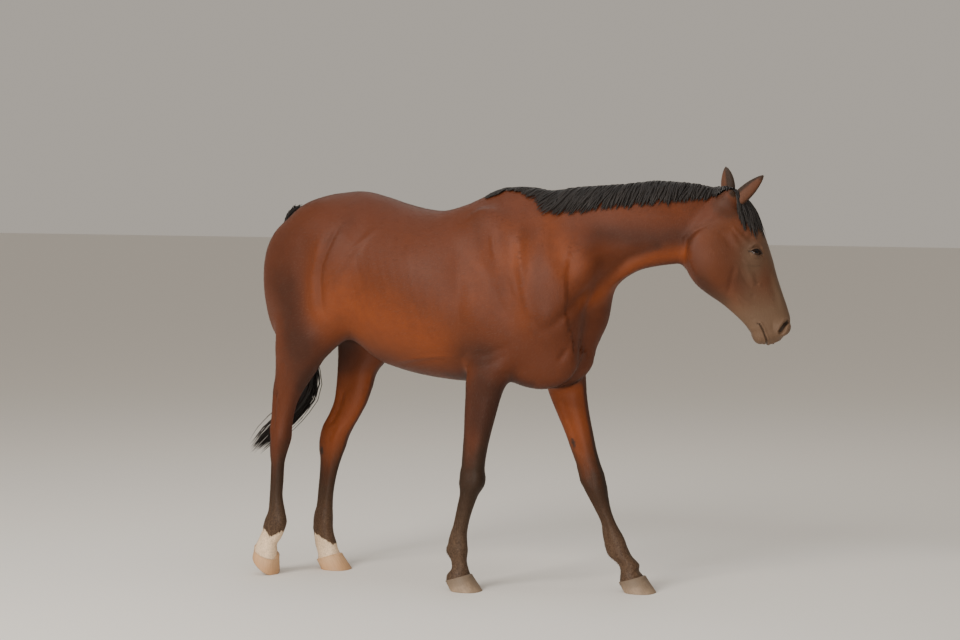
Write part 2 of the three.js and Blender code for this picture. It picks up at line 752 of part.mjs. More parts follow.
function makeField() {
  const field = new Field([-760, -340, -20], [1540, 500, 1680], gridCell);
  field.loft(worldFrame, loftRows(trunkSections), 0);
  field.loft(neckFrame, loftRows(neckSections), 110);
  field.loft(faceFrame, loftRows(headSections), 36);
  for (const [u, v, w, a, b, c, blend] of headMasses) {
    for (const side of v ? [-1, 1] : [1]) {
      const place = { ...faceFrame, origin: placeIn(faceFrame, u, side * v, w) };
      field.ellipsoid(place, [a, b, c], blend);
    }
  }
  addMasses(field, foreMasses, -1, swing.foreRight);
  addMasses(field, foreMasses, 1, swing.foreLeft);
  addMasses(field, hindMasses, -1, swing.hindRight);
  addMasses(field, hindMasses, 1, swing.hindLeft);
  Object.keys(legSections).forEach((leg) => addLeg(field, leg));
  return field;
}

const faceAt = (p) => p.clone().sub(faceFrame.origin).dot(faceFrame.u);

// The head and the lower legs keep more of their triangles than the trunk does.
function importance([x, y, z]) {
  const onHead = x > 1200 && faceAt(vec(x, y, z)) > 20;
  if (onHead) return headShare;
  return z < lowerLegTop ? legShare : 1;
}

// ---- hooves

// One hoof: rings from the sole to the coronet, with the toe's tip at the origin.
function hoofRings() {
  const lean = 1 / Math.tan(radians(wallAngle));
  const toe = [-toeHeight * lean, toeHeight];
  const heel = [-hoofLength - heelHeight * lean, heelHeight];
  const round = (c) => Math.sign(c) * Math.pow(Math.abs(c), 0.86);
  return [0, 0.5, 1].map((t) => {
    const front = [toe[0] * t, toe[1] * t];
    const back = [-hoofLength * (1 - t) + heel[0] * t, heel[1] * t];
    const half = hoofHalfWidth + (coronetHalfWidth - hoofHalfWidth) * t;
    return Array.from({ length: 20 }, (_, i) => {
      const angle = (i / 20) * 2 * Math.PI;
      const share = (1 + round(Math.cos(angle))) / 2;
      return vec(
        back[0] + (front[0] - back[0]) * share,
        half * round(Math.sin(angle)),
        back[1] + (front[1] - back[1]) * share,
      );
    });
  });
}

function hoofMatrix(leg) {
  const [x, y, turn, pitch] = hoofPlaces[leg];
  const sink = pitch ? toeFlat : 0;
  return new THREE.Matrix4()
    .makeTranslation(x, y, -sink)
    .multiply(new THREE.Matrix4().makeRotationZ(radians(turn)))
    .multiply(new THREE.Matrix4().makeRotationY(radians(pitch)));
}

const floorBox = () => boxUnder(vec(0, 0, 0), vec(0, 0, 1), [4000, 2000], 200);

function makeHoof(leg) {
  const matrix = hoofMatrix(leg);
  const rings = hoofRings().map((ring) => ring.map((p) => p.applyMatrix4(matrix)));
  return solidOf(skinOver(rings)).subtract(floorBox());
}

// All that lies under a hoof's coronet, less the gap to the leg.
function underCoronet(leg) {
  const ring = hoofRings()[2];
  const matrix = hoofMatrix(leg);
  const toe = ring[0].clone();
  const heel = ring[10].clone();
  const normal = vec(heel.z - toe.z, 0, toe.x - heel.x).normalize();
  const centre = toe.add(heel).multiplyScalar(0.5).addScaledVector(normal, partingGap);
  return boxUnder(centre.applyMatrix4(matrix), normal.transformDirection(matrix), [200, 200], 150);
}

// ---- ears, hair and tail

function makeEar(side) {
  const { root, axis, opening } = ears[side];
  const base = placeIn(faceFrame, ...root);
  const along = vec(...axis).normalize();
  const front = vec(...opening);
  front.addScaledVector(along, -front.dot(along)).normalize();
  const across = along.clone().cross(front);
  const rings = earSections.map(([t, half, back, hollow]) =>
    Array.from({ length: 16 }, (_, i) => {
      const angle = (i / 16) * 2 * Math.PI;
      const depth = Math.sin(angle) > 0 ? -back * Math.sin(angle) : hollow * Math.sin(angle);
      return base
        .clone()
        .addScaledVector(along, t * earLength)
        .addScaledVector(across, half * Math.cos(angle))
        .addScaledVector(front, depth);
    }),
  );
  return solidOf(skinOver(rings));
}

// A ring of hair lying on the body: out over it along the outside, back just under its surface.
function hairRing(places, outward, thickness) {
  const depth = 9;
  const last = places.length - 1;
  const outer = places.map((p, i) => {
    const taper = Math.min(1, 0.45 + (2 * i) / last, 0.3 + (1.4 * (last - i)) / last);
    return p.clone().addScaledVector(outward[i], thickness * taper);
  });
  const inner = places.map((p, i) => p.clone().addScaledVector(outward[i], -depth));
  return [...outer, ...inner.reverse()];
}

function makeMane(field) {
  const steps = 8;
  const middle = curveThrough(loftRows(neckSections));
  const rings = maneSections.map(([u, length, thickness]) => {
    const [v, w] = middle(u);
    const origin = placeIn(neckFrame, u, v, w);
    const outward = [];
    const places = [];
    let angle = radians(-5);
    let last = null;
    let travelled = 0;
    while (places.length < steps) {
      const direction = vec(0, 0, Math.cos(angle)).addScaledVector(neckFrame.v, -Math.sin(angle));
      const place = field.surfaceFrom(origin, direction);
      travelled += last ? place.distanceTo(last) : 0;
      last = place;
      if (travelled >= (length * places.length) / (steps - 1)) {
        places.push(place);
        outward.push(direction);
      }
      angle += radians(0.5);
    }
    return hairRing(places, outward, thickness);
  });
  return solidOf(skinOver(rings));
}

function makeForelock(field) {
  const steps = 6;
  const rings = forelockSections.map(([u, halfAngle, thickness]) => {
    const origin = placeIn(faceFrame, u, 0, 110);
    const outward = Array.from({ length: steps }, (_, i) => {
      const angle = radians(halfAngle * ((2 * i) / (steps - 1) - 1) - 8);
      const upward = faceFrame.w.clone().multiplyScalar(-Math.cos(angle));
      return upward.addScaledVector(faceFrame.v, Math.sin(angle));
    });
    const places = outward.map((direction) => field.surfaceFrom(origin, direction));
    return hairRing(places, outward, thickness);
  });
  return solidOf(skinOver(rings));
}

function makeTail() {
  const sides = 12;
  const path = tailSections.map(([x, y, z]) => vec(x, y, z));
  const rings = tailSections.map(([, , , half, depth], i) => {
    const next = path[Math.min(i + 1, path.length - 1)];
    const ahead = next.clone().sub(path[Math.max(i - 1, 0)]).normalize();
    const across = vec(0, 1, 0).addScaledVector(ahead, -ahead.y).normalize();
    const back = ahead.clone().cross(across);
    return Array.from({ length: sides }, (_, k) => {
      const angle = (k / sides) * 2 * Math.PI;
      return path[i]
        .clone()
        .addScaledVector(across, half * Math.cos(angle))
        .addScaledVector(back, depth * Math.sin(angle));
    });
  });
  return solidOf(skinOver(rings));
}

// ---- the animal, parted

// Thin cuts: [centre, normal, width, breadth].
function cuts() {
  const headNormal = faceFrame.u.clone().multiplyScalar(0.815).addScaledVector(faceFrame.w, -0.58);
  return [
    [vec(617, 20, 1395), vec(0.868, 0.1, 0.497), 720, 800], // neck
    [placeIn(faceFrame, 72, 0, 205), headNormal, 600, 600], // head
    [vec(340, -165, 786), vec(0, 0, 1), 300, 300], // forelegs
    [vec(570, 165, 786), vec(0, 0, 1), 320, 300],
    [vec(-490, -170, 951), vec(0.3, 0, 1), 460, 320], // hind legs
    [vec(-370, 170, 915), vec(0.3, 0, 1), 460, 320],
  ];
}

function partBody(solid) {
  const slits = cuts().map(([centre, normal, width, breadth]) =>
    boxUnder(centre, normal, [width, breadth], partingGap),
  );
  const feet = Object.keys(hoofPlaces).map(underCoronet);
  const whole = [...slits, ...feet].reduce((rest, cut) => rest.subtract(cut), solid);
  const pieces = whole.decompose();
  const centreOf = (piece) => {
    const box = piece.boundingBox();
    return vec(...box.min).add(vec(...box.max)).multiplyScalar(0.5);
  };
  const nearest = (place) => {
    const distance = (piece) => centreOf(piece).distanceTo(place);
    return pieces.reduce((best, p) => (distance(p) < distance(best) ? p : best));
  };
  return {
    trunk: nearest(vec(50, 0, 1220)),
    neck: nearest(vec(950, 100, 1400)),
    head: nearest(vec(1330, 290, 1360)),
    leg_fore_right: nearest(vec(290, -130, 440)),
    leg_fore_left: nearest(vec(690, 165, 440)),
    leg_hind_right: nearest(vec(-550, -150, 520)),
    leg_hind_left: nearest(vec(-430, 150, 480)),
  };
}

const looks = {
  bay: { color: 0x6e3b22, roughness: 0.55, metalness: 0 },
  darkBay: { color: 0x33231c, roughness: 0.6, metalness: 0 },
  black: { color: 0x17130f, roughness: 0.5, metalness: 0 },
  horn: { color: 0x9a8672, roughness: 0.7, metalness: 0 },
  eye: { color: 0x120c08, roughness: 0.08, metalness: 0 },
};

function makeHorse() {
  const field = makeField();
  const body = solidOf(thin(surfaceOf(field), bodyTriangles, importance));
  const parts = partBody(body);
  const group = new THREE.Group();
  const add = (name, solid, look) => group.add(meshOf(name, solid, looks[look]));

  const eyes = { right: -1, left: 1 };
  for (const [side, sign] of Object.entries(eyes)) {
    const [u, v, w] = eyePlace;
    const place = new THREE.Matrix4().setPosition(placeIn(faceFrame, u, sign * v, w));
    const ball = (radius) => solidOfGeometry(new THREE.SphereGeometry(radius, 16, 12), place);
    parts.head = largest(parts.head.subtract(ball(eyeRadius + partingGap)));
    add("eye_" + side, ball(eyeRadius), "eye");
  }

  const earSolids = {};
  for (const side of Object.keys(ears)) {
    earSolids[side] = fitOn(makeEar(side), body, [vec(...ears[side].axis)]);
    add("ear_" + side, earSolids[side], "darkBay");
  }
  const sideways = [vec(0, -1, 1), vec(0, 1, 1), vec(1, -1, 1), vec(-1, -1, 1), vec(0, -1, 0)];
  const mane = fitOn(makeMane(field), body, sideways);
  const forelock = fitOn(makeForelock(field), body, [faceFrame.w.clone().negate()]);
  const tail = fitOn(makeTail(), body, [vec(-1, 0, 0), vec(-1, 0, 1)]);
  add("mane", mane, "black");
  add("forelock", forelock, "black");
  add("tail", tail, "black");

  for (const [name, solid] of Object.entries(parts)) {
    add(name, solid, name.startsWith("leg") ? "darkBay" : "bay");
  }
  for (const leg of Object.keys(hoofPlaces)) {
    const name = leg.startsWith("fore") ? "hoof_fore_" : "hoof_hind_";
    add(name + (leg.endsWith("Right") ? "right" : "left"), makeHoof(leg), "horn");
  }

  const box = new THREE.Box3().setFromObject(group);
  group.position.set(-(box.min.x + box.max.x) / 2, -(box.min.y + box.max.y) / 2, -box.min.z);
  return group;
}

export default makeHorse();
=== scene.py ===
import json
import math
import time

import bpy
import numpy as np
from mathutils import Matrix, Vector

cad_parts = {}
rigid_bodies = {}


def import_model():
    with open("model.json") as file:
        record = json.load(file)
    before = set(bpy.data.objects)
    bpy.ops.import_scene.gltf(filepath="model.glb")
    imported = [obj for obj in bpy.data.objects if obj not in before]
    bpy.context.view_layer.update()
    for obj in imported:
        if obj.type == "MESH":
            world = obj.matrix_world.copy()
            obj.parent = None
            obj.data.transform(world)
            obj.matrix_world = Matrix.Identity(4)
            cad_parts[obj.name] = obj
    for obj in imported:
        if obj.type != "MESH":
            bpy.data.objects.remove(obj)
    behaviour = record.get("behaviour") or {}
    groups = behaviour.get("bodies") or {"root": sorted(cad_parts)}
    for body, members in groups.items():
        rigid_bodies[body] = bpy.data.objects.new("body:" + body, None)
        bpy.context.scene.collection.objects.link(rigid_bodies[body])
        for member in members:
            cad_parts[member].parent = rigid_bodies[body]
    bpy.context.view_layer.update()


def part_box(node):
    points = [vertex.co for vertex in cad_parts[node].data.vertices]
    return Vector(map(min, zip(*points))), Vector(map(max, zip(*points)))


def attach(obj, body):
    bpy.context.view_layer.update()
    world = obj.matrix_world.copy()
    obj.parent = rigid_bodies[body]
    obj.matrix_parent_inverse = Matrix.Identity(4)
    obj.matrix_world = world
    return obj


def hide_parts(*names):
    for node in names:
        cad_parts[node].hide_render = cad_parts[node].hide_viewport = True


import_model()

started = time.time()
random = np.random.default_rng(7)


def report(stage):
    print(f"{stage}: {time.time() - started:.0f} s")


# Body shapes are worked out in millimetres, x forward, y to the horse's left, z up.
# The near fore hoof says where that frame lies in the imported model's frame.
hoofLow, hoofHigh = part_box("hoof_fore_right")
toeTip = np.array([307, -105])
shift = np.array([hoofHigh.x, (hoofLow.y + hoofHigh.y) / 2, 0]) * 1000 - [toeTip[0], toeTip[1], 0]


def turned(degrees):
    return math.cos(math.radians(degrees)), math.sin(math.radians(degrees))


def unit(vectors):
    vectors = np.asarray(vectors, float)
    return vectors / (np.linalg.norm(vectors, axis=-1, keepdims=True) + 1e-12)


def eased(low, high, value):  # 0 at low, 1 at high
    t = np.clip((value - low) / (high - low), 0, 1)
    return t * t * (3 - 2 * t)


def bell(offset, width):  # 1 in the middle, falling off on both sides
    return np.exp(-((offset / width) ** 2))


class Place:  # an origin and three unit axes u, v, w
    def __init__(self, origin, u, v, w):
        self.origin = np.array(origin, float)
        self.axes = np.array([u, v, w], float)

    def local(self, points):
        return (points - self.origin) @ self.axes.T

    def world(self, local):
        return self.origin + np.asarray(local, float) @ self.axes

    def moved(self, local):
        return Place(self.world(local), *self.axes)


def levelPlace(origin, yaw):
    c, s = turned(yaw)
    return Place(origin, (c, s, 0), (-s, c, 0), (0, 0, 1))


def axisPlace(origin, axis):
    u = unit(axis)
    w = unit(np.cross(u, (0, 1, 0)))
    return Place(origin, u, np.cross(w, u), w)


build = {
    "neckOrigin": (430, 0, 0),
    "neckYaw": 17,
    "pollOrigin": (1291, 250, 1619),
    "headYaw": 35,
    "headPitch": 70.5,
    "neckBlend": 110,
    "headBlend": 36,
    "coatDepth": 2.5,
    "gridCell": 12.5,
    "gridLow": (-760, -340, -20),
    "gridHigh": (1540, 500, 1700),
}


def facePlace():
    (c, s), (cp, sp) = turned(build["headYaw"]), turned(build["headPitch"])
    u = np.array([c * cp, s * cp, -sp])
    w = np.array([-c * sp, -s * sp, -cp])
    return Place(build["pollOrigin"], u, np.cross(u, w), w)


horse = levelPlace((0, 0, 0), 0)
neck = levelPlace(build["neckOrigin"], build["neckYaw"])
face = facePlace()

# Sections as [along, low, middle, high, half width, roundness low, roundness high, sideways].
# In the head, low is the face line and high is the jaw.
trunkSections = [
    [-640, 1240, 1345, 1450, 70, 2, 2, 0], [-590, 1140, 1335, 1508, 130, 2, 2, 0],
    [-530, 1090, 1320, 1548, 175, 2, 2, 0], [-450, 1060, 1300, 1576, 212, 2, 1.9, 0],
    [-360, 1020, 1285, 1590, 238, 2, 1.9, 0], [-280, 965, 1265, 1594, 248, 2, 1.95, 0],
    [-185, 898, 1235, 1574, 254, 2, 2, 0], [-90, 868, 1205, 1546, 268, 2, 2.05, 0],
    [0, 850, 1190, 1526, 280, 2, 2.05, 0], [95, 838, 1180, 1519, 284, 2, 2, 0],
    [200, 832, 1165, 1545, 272, 2, 1.8, 0], [300, 838, 1150, 1584, 248, 2, 1.6, 0],
    [400, 842, 1150, 1590, 218, 2, 1.5, 0], [500, 852, 1155, 1568, 190, 2.1, 1.55, 0],
    [600, 890, 1165, 1480, 165, 2.2, 1.8, 0], [680, 985, 1180, 1370, 120, 2.2, 2, 0],
]
neckSections = [
    [-40, 980, 1230, 1562, 168, 2, 1.7, 0], [110, 1050, 1290, 1584, 150, 2, 1.6, -24],
    [220, 1140, 1330, 1602, 124, 2, 1.6, -44], [330, 1216, 1385, 1612, 99, 2, 1.6, -58],
    [440, 1274, 1430, 1619, 84, 2, 1.65, -64], [550, 1303, 1460, 1630, 76, 2.1, 1.75, -60],
    [650, 1314, 1480, 1624, 72, 2.2, 1.85, -46], [740, 1316, 1490, 1612, 72, 2.2, 2, -26],
    [800, 1335, 1490, 1592, 66, 2.2, 2, -8],
]
headSections = [
    [-8, 70, 110, 150, 44, 2, 2, 0], [30, 38, 110, 210, 68, 2, 2, 0],
    [90, 12, 104, 290, 86, 2.2, 2.2, 0], [150, 2, 96, 322, 95, 2.4, 2.4, 0],
    [205, 0, 90, 332, 99, 2.5, 2.5, 0], [260, 0, 90, 330, 95, 2.5, 2.6, 0],
    [310, 0, 94, 311, 82, 2.4, 2.6, 0], [352, 2, 98, 284, 69, 2.3, 2.5, 0],
    [400, 3, 98, 248, 59, 2.2, 2.4, 0], [450, 3, 95, 218, 51, 2.2, 2.3, 0],
    [505, 3, 92, 190, 48, 2.2, 2.3, 0], [550, 8, 92, 174, 50, 2.3, 2.4, 0],
    [588, 30, 96, 158, 46, 2.3, 2.4, 0], [614, 70, 104, 128, 24, 2.1, 2.1, 0],
]
# Level sections of a leg as [height, forward, sideways, depth behind, depth in front, half width].
legSections = {
    "foreRight": [
        [1010, 392, -140, 70, 75, 50], [930, 378, -150, 92, 92, 62], [860, 358, -150, 88, 88, 64],
        [784, 336, -141, 75, 74, 56], [710, 319, -135, 66, 66, 51], [644, 305, -129, 58, 58, 46],
        [560, 289, -125, 51, 52, 42], [490, 279, -121, 48, 50, 43], [430, 274, -118, 50, 53, 47],
        [388, 259, -115, 39, 40, 38], [345, 244, -113, 36, 36, 31], [284, 226, -110, 34, 32, 28],
        [228, 213, -107, 37, 33, 28], [192, 208, -106, 45, 38, 32], [160, 206, -106, 53, 42, 35],
        [118, 211, -106, 36, 33, 30], [85, 214, -106, 37, 37, 34], [62, 209, -105, 50, 48, 45],
        [20, 210, -105, 53, 51, 48],
    ],
    "foreLeft": [
        [1010, 535, 140, 75, 78, 50], [930, 542, 150, 95, 95, 62], [860, 552, 152, 90, 92, 64],
        [780, 570, 152, 80, 80, 56], [705, 592, 153, 69, 69, 51], [635, 615, 154, 60, 61, 46],
        [560, 638, 155, 54, 55, 42], [480, 666, 157, 50, 52, 43], [420, 684, 158, 50, 52, 46],
        [375, 700, 160, 43, 43, 39], [335, 715, 161, 36, 37, 30], [273, 743, 164, 33, 32, 26],
        [212, 768, 167, 46, 43, 30], [170, 784, 169, 56, 43, 34], [140, 800, 170, 56, 44, 36],
        [110, 828, 172, 46, 46, 34], [85, 833, 173, 40, 40, 36], [62, 842, 175, 50, 48, 45],
        [20, 843, 175, 53, 51, 48],
    ],
    "hindRight": [
        [1060, -475, -170, 110, 105, 70], [960, -486, -184, 110, 116, 74],
        [893, -497, -174, 108, 110, 64], [840, -520, -166, 92, 92, 56], [780, -553, -157, 74, 72, 48],
        [716, -577, -149, 60, 55, 42], [660, -588, -145, 56, 46, 40], [615, -596, -143, 55, 45, 42],
        [575, -600, -142, 48, 45, 42], [530, -610, -140, 38, 40, 37], [480, -618, -139, 31, 33, 29],
        [400, -624, -137, 31, 31, 25], [326, -629, -136, 32, 31, 25], [265, -629, -134, 40, 42, 31],
        [225, -634, -133, 49, 54, 37], [190, -642, -133, 54, 50, 38], [155, -660, -132, 53, 50, 36],
        [128, -678, -132, 48, 48, 38], [104, -684, -131, 50, 50, 46], [60, -686, -131, 52, 52, 48],
    ],
    "hindLeft": [
        [1060, -350, 175, 150, 125, 70], [960, -352, 182, 158, 112, 76], [890, -367, 172, 138, 90, 68],
        [838, -388, 160, 114, 72, 58], [770, -406, 148, 96, 72, 50], [704, -425, 138, 84, 70, 45],
        [650, -449, 131, 82, 66, 42], [605, -472, 127, 84, 62, 43], [565, -488, 125, 80, 56, 43],
        [515, -503, 122, 68, 55, 38], [470, -514, 121, 54, 48, 31], [420, -521, 120, 48, 38, 27],
        [340, -533, 119, 44, 31, 26], [265, -541, 118, 44, 32, 28], [210, -546, 118, 50, 37, 34],
        [175, -548, 118, 53, 38, 36], [145, -543, 118, 54, 38, 35], [110, -534, 118, 58, 41, 36],
        [85, -528, 118, 58, 41, 38], [62, -525, 118, 50, 48, 45], [20, -524, 118, 53, 51, 48],
    ],
}
legTurn = {"foreRight": 0, "foreLeft": 0, "hindRight": -10, "hindLeft": 0}
legBlend = {"foreRight": 45, "foreLeft": 45, "hindRight": 60, "hindLeft": 60}
# Muscles as [x, y, z, radius along, sideways, across, axis x, y, z, blend, swing in place, in axis].
foreMasses = [
    [486, 126, 1300, 265, 68, 118, 300, 0, -400, 80, 1, 0],
    [426, 158, 1090, 175, 62, 110, 150, 0, -190, 80, 1.8, 0],
    [643, 108, 1140, 92, 82, 130, 1, 0, 0, 100, 1, 0],
    [672, 62, 1105, 60, 62, 105, 1, 0, 0, 80, 0.5, 0],
    [668, 70, 1268, 150, 62, 90, 260, 50, 170, 120, 0.6, 0],
    [560, 70, 932, 150, 75, 112, 1, 0, 0, 90, 0, 0],
]
hindMasses = [
    [-400, 118, 1380, 190, 125, 165, 1, 0, 0, 80, 0, 0],
    [-473, 150, 1185, 245, 112, 140, 172, 30, -260, 80, 0.16, 1],
    [-299, 168, 1190, 250, 80, 100, -57, 10, -470, 90, 0.5, 1],
    [-583, 98, 1200, 98, 95, 240, 1, 0, 0, 70, 0.1, 0],
    [-430, 85, 1120, 120, 80, 130, 1, 0, 0, 80, 0.5, 0],
]
swing = {"foreRight": -23, "foreLeft": 23, "hindRight": -57, "hindLeft": 57}
# Masses on the head as [down the face, sideways, behind the face line, three radii, blend].
headMasses = [
    [236, 76, 80, 48, 20, 44, 20], [205, 55, 225, 110, 36, 100, 30], [300, 62, 118, 62, 14, 13, 16],
    [566, 36, 56, 34, 20, 34, 20], [574, 0, 150, 30, 32, 24, 20], [18, 52, 88, 36, 26, 36, 30],
]
# Tip of each toe as [forward, sideways, turn, pitch].
hoofPlaces = {
    "foreRight": [307, -105, 0, 0], "foreLeft": [942, 175, 0, 0],
    "hindRight": [-642, -128, -10, 40], "hindLeft": [-425, 118, 0, 0],
}
ears = {
    "right": {
        "root": [44, -56, 86], "axis": [0.635, 0.324, 0.7], "opening": [-0.05, 0.85, -0.45], "rim": 1,
    },
    "left": {
        "root": [22, 54, 66], "axis": [-0.354, 0.583, 0.73], "opening": [0.128, 0.851, 0], "rim": -1,
    },
}
# Sections of an ear as [share of length, half width, depth of the back, depth of the hollow].
earSections = [
    [-0.12, 21, 20, -16], [0.06, 28, 24, -14], [0.16, 33, 24, 2], [0.32, 35, 22, 11], [0.5, 33, 19, 10],
    [0.68, 27, 15, 7], [0.84, 18, 10, 4], [0.95, 9, 5, 1], [1, 2, 2, -1],
]
# Mane as [along the neck, length over the right side, thickness].
maneSections = [
    [-110, 26, 4], [-40, 45, 7], [30, 70, 11], [90, 108, 15], [170, 112, 17], [260, 100, 18],
    [360, 92, 18], [460, 96, 18], [560, 98, 17], [660, 90, 15], [740, 74, 12], [795, 50, 9],
]
# Forelock as [down the face, half angle, thickness].
forelockSections = [
    [-6, 24, 8], [25, 26, 13], [60, 30, 14], [95, 28, 12], [130, 21, 8], [165, 10, 4],
]
# Tail as [forward, sideways, height, half width, half depth].
tailSections = [
    [-556, 0, 1508, 24, 20], [-598, 2, 1522, 31, 27], [-636, 6, 1492, 35, 29], [-662, 16, 1410, 36, 30],
    [-702, 40, 1290, 38, 30], [-720, 75, 1150, 40, 30], [-698, 130, 1000, 46, 30],
    [-664, 172, 870, 52, 30], [-650, 165, 760, 58, 28], [-686, 86, 655, 58, 26],
    [-732, -22, 575, 48, 20], [-764, -112, 505, 26, 12],
]


def curveThrough(rows):  # a smooth curve through rows of [place, values]
    rows = np.array(rows, float)
    place, value = rows[:, 0], rows[:, 1:]
    step = np.diff(place)[:, None]
    rise = np.diff(value, axis=0) / step
    slope = np.vstack([rise[:1], rise, rise[-1:]])[:-1]
    slope[1:-1] = (rise[:-1] * step[1:] + rise[1:] * step[:-1]) / (step[1:] + step[:-1])
    slope[-1] = rise[-1]

    def at(position):
        x = np.clip(position, place[0], place[-1])
        i = np.clip(np.searchsorted(place, x, side="right") - 1, 0, len(place) - 2)
        width = step[i, 0]
        t = (x - place[i]) / width
        ease = t * t * (3 - 2 * t)
        start, end = t * (1 - t) ** 2 * width, t * t * (t - 1) * width
        return [
            value[i, k] * (1 - ease) + value[i + 1, k] * ease + slope[i, k] * start + slope[i + 1, k] * end
            for k in range(value.shape[1])
        ]

    return at


def smoothMin(a, b, blend):
    if blend <= 0:
        return np.minimum(a, b)
    h = np.maximum(blend - np.abs(a - b), 0) / blend
    return np.minimum(a, b) - h * h * blend * 0.25


class Field:  # the distance to the body's surface, negative inside
    def __init__(self):
        self.parts = []

    def join(self, place, low, high, blend, distance, cut=False):
        reach = blend + 30
        ends = [(a - reach, b + reach) for a, b in zip(low, high)]
        corners = place.world([(u, v, w) for u in ends[0] for v in ends[1] for w in ends[2]])
        self.parts.append((place, corners.min(0), corners.max(0), blend, distance, cut))

    def at(self, points):
        values = np.full(len(points), 400.0)
        for place, low, high, blend, distance, cut in self.parts:
            near = np.flatnonzero(((points > low) & (points < high)).all(1))
            if not len(near):
                continue
            d = distance(*place.local(points[near]).T)
            values[near] = np.maximum(values[near], d) if cut else smoothMin(values[near], d, blend)
        return values

    # Each section is [u, v centre, w centre, half width, low side, high side, roundness twice].
    def loft(self, place, sections, blend):
        at = curveThrough(sections)
        rows = np.array(sections, float)
        first, last = rows[0, 0], rows[-1, 0]
        reach = rows[:, 3:6].max()
        low = [first, *(rows[:, 1:3].min(0) - reach)]
        high = [last, *(rows[:, 1:3].max(0) + reach)]

        def distance(u, v, w):
            cv, cw, half, below, above, roundBelow, roundAbove = at(u)
            a, b = np.abs(v - cv), w - cw
            n = np.where(b < 0, roundBelow, roundAbove)
            ratio = ((a / half) ** n + (np.abs(b) / np.where(b < 0, below, above)) ** n) ** (1 / n)
            length = np.hypot(a, b)
            d = length - length / np.maximum(ratio, 1e-4)
            d = np.where(length < 1e-3, -np.minimum(half, np.minimum(below, above)), d)
            past = np.maximum(np.maximum(first - u, u - last), 0)
            return np.where(past > 0, np.hypot(np.maximum(d, 0), past), d)

        self.join(place, low, high, blend, distance)

    def ellipsoid(self, place, radii, blend):
        a, b, c = radii

        def distance(u, v, w):
            near = np.sqrt((u / a) ** 2 + (v / b) ** 2 + (w / c) ** 2)
            slope = np.sqrt((u / a**2) ** 2 + (v / b**2) ** 2 + (w / c**2) ** 2) + 1e-9
            return near * (near - 1) / slope

        self.join(place, [-a, -b, -c], [a, b, c], blend, distance)


def loftRows(rows):
    return [[u, v, mid, half, mid - low, high - mid, nl, nh] for u, low, mid, high, half, nl, nh, v in rows]


legRoundness = 2.2


def addLeg(field, leg):
    rows = legSections[leg]
    c, s = turned(legTurn[leg])
    origin = np.array([rows[2][1], rows[2][2], 0])
    place = Place(origin, (0, 0, 1), (-s, c, 0), (c, s, 0))
    sections = []
    for z, x, y, behind, inFront, half in reversed(rows):
        offset = np.array([x, y, 0]) - origin
        centre = offset @ place.axes[1], offset @ place.axes[2]
        sections.append([z, *centre, half, behind, inFront, legRoundness, legRoundness])
    field.loft(place, sections, legBlend[leg])


def addMasses(field, leg):
    side = -1 if leg.endswith("Right") else 1
    for row in foreMasses if leg.startswith("fore") else hindMasses:
        x, y, z, a, b, c, ax, ay, az, blend, share, axisShare = row
        axis = ax + axisShare * swing[leg], side * ay, az
        field.ellipsoid(axisPlace((x + share * swing[leg], side * y, z), axis), (a, b, c), blend)


hoofSize = {
    "length": 128, "halfWidth": 62, "toeHeight": 68, "heelHeight": 36, "wallAngle": 55, "coronetHalf": 48,
    "sunk": 4, "sides": 48, "rings": 24, "growth": 0.0066, "wall": 0.87, "inSkin": 16,
}


def hoofPlace(leg):
    x, y, turn, pitch = hoofPlaces[leg]
    (c, s), (cp, sp) = turned(turn), turned(pitch)
    sink = hoofSize["sunk"] if pitch else 0
    return Place((x, y, -sink), (c * cp, s * cp, -sp), (-s, c, 0), (c * sp, s * sp, cp))


def coronetEnds():  # forward and up, at the toe and at the heel
    lean = 1 / math.tan(math.radians(hoofSize["wallAngle"]))
    toe = np.array([-hoofSize["toeHeight"] * lean, hoofSize["toeHeight"]])
    return toe, np.array([-hoofSize["length"] - hoofSize["heelHeight"] * lean, hoofSize["heelHeight"]])


def coronetPlace(leg):  # u looks up the leg out of the hoof, at the middle of the coronet
    toe, heel = coronetEnds()
    hoof = hoofPlace(leg)
    middle = (toe + heel) / 2
    u = unit((heel[1] - toe[1], 0, toe[0] - heel[0])) @ hoof.axes
    v = hoof.axes[1]
    return Place(hoof.world((middle[0], 0, middle[1])), u, v, np.cross(u, v))


def makeField():
    field = Field()
    field.loft(horse, loftRows(trunkSections), 0)
    field.loft(neck, loftRows(neckSections), build["neckBlend"])
    field.loft(face, loftRows(headSections), build["headBlend"])
    for u, v, w, a, b, c, blend in headMasses:
        for side in (-1, 1) if v else (1,):
            field.ellipsoid(face.moved((u, side * v, w)), (a, b, c), blend)
    for leg in legSections:
        addMasses(field, leg)
    for leg in legSections:
        addLeg(field, leg)
        below = hoofSize["inSkin"]
        field.join(coronetPlace(leg), (-90, -70, -90), (30, 70, 90), 0, lambda u, v, w: -below - u, cut=True)
    return field


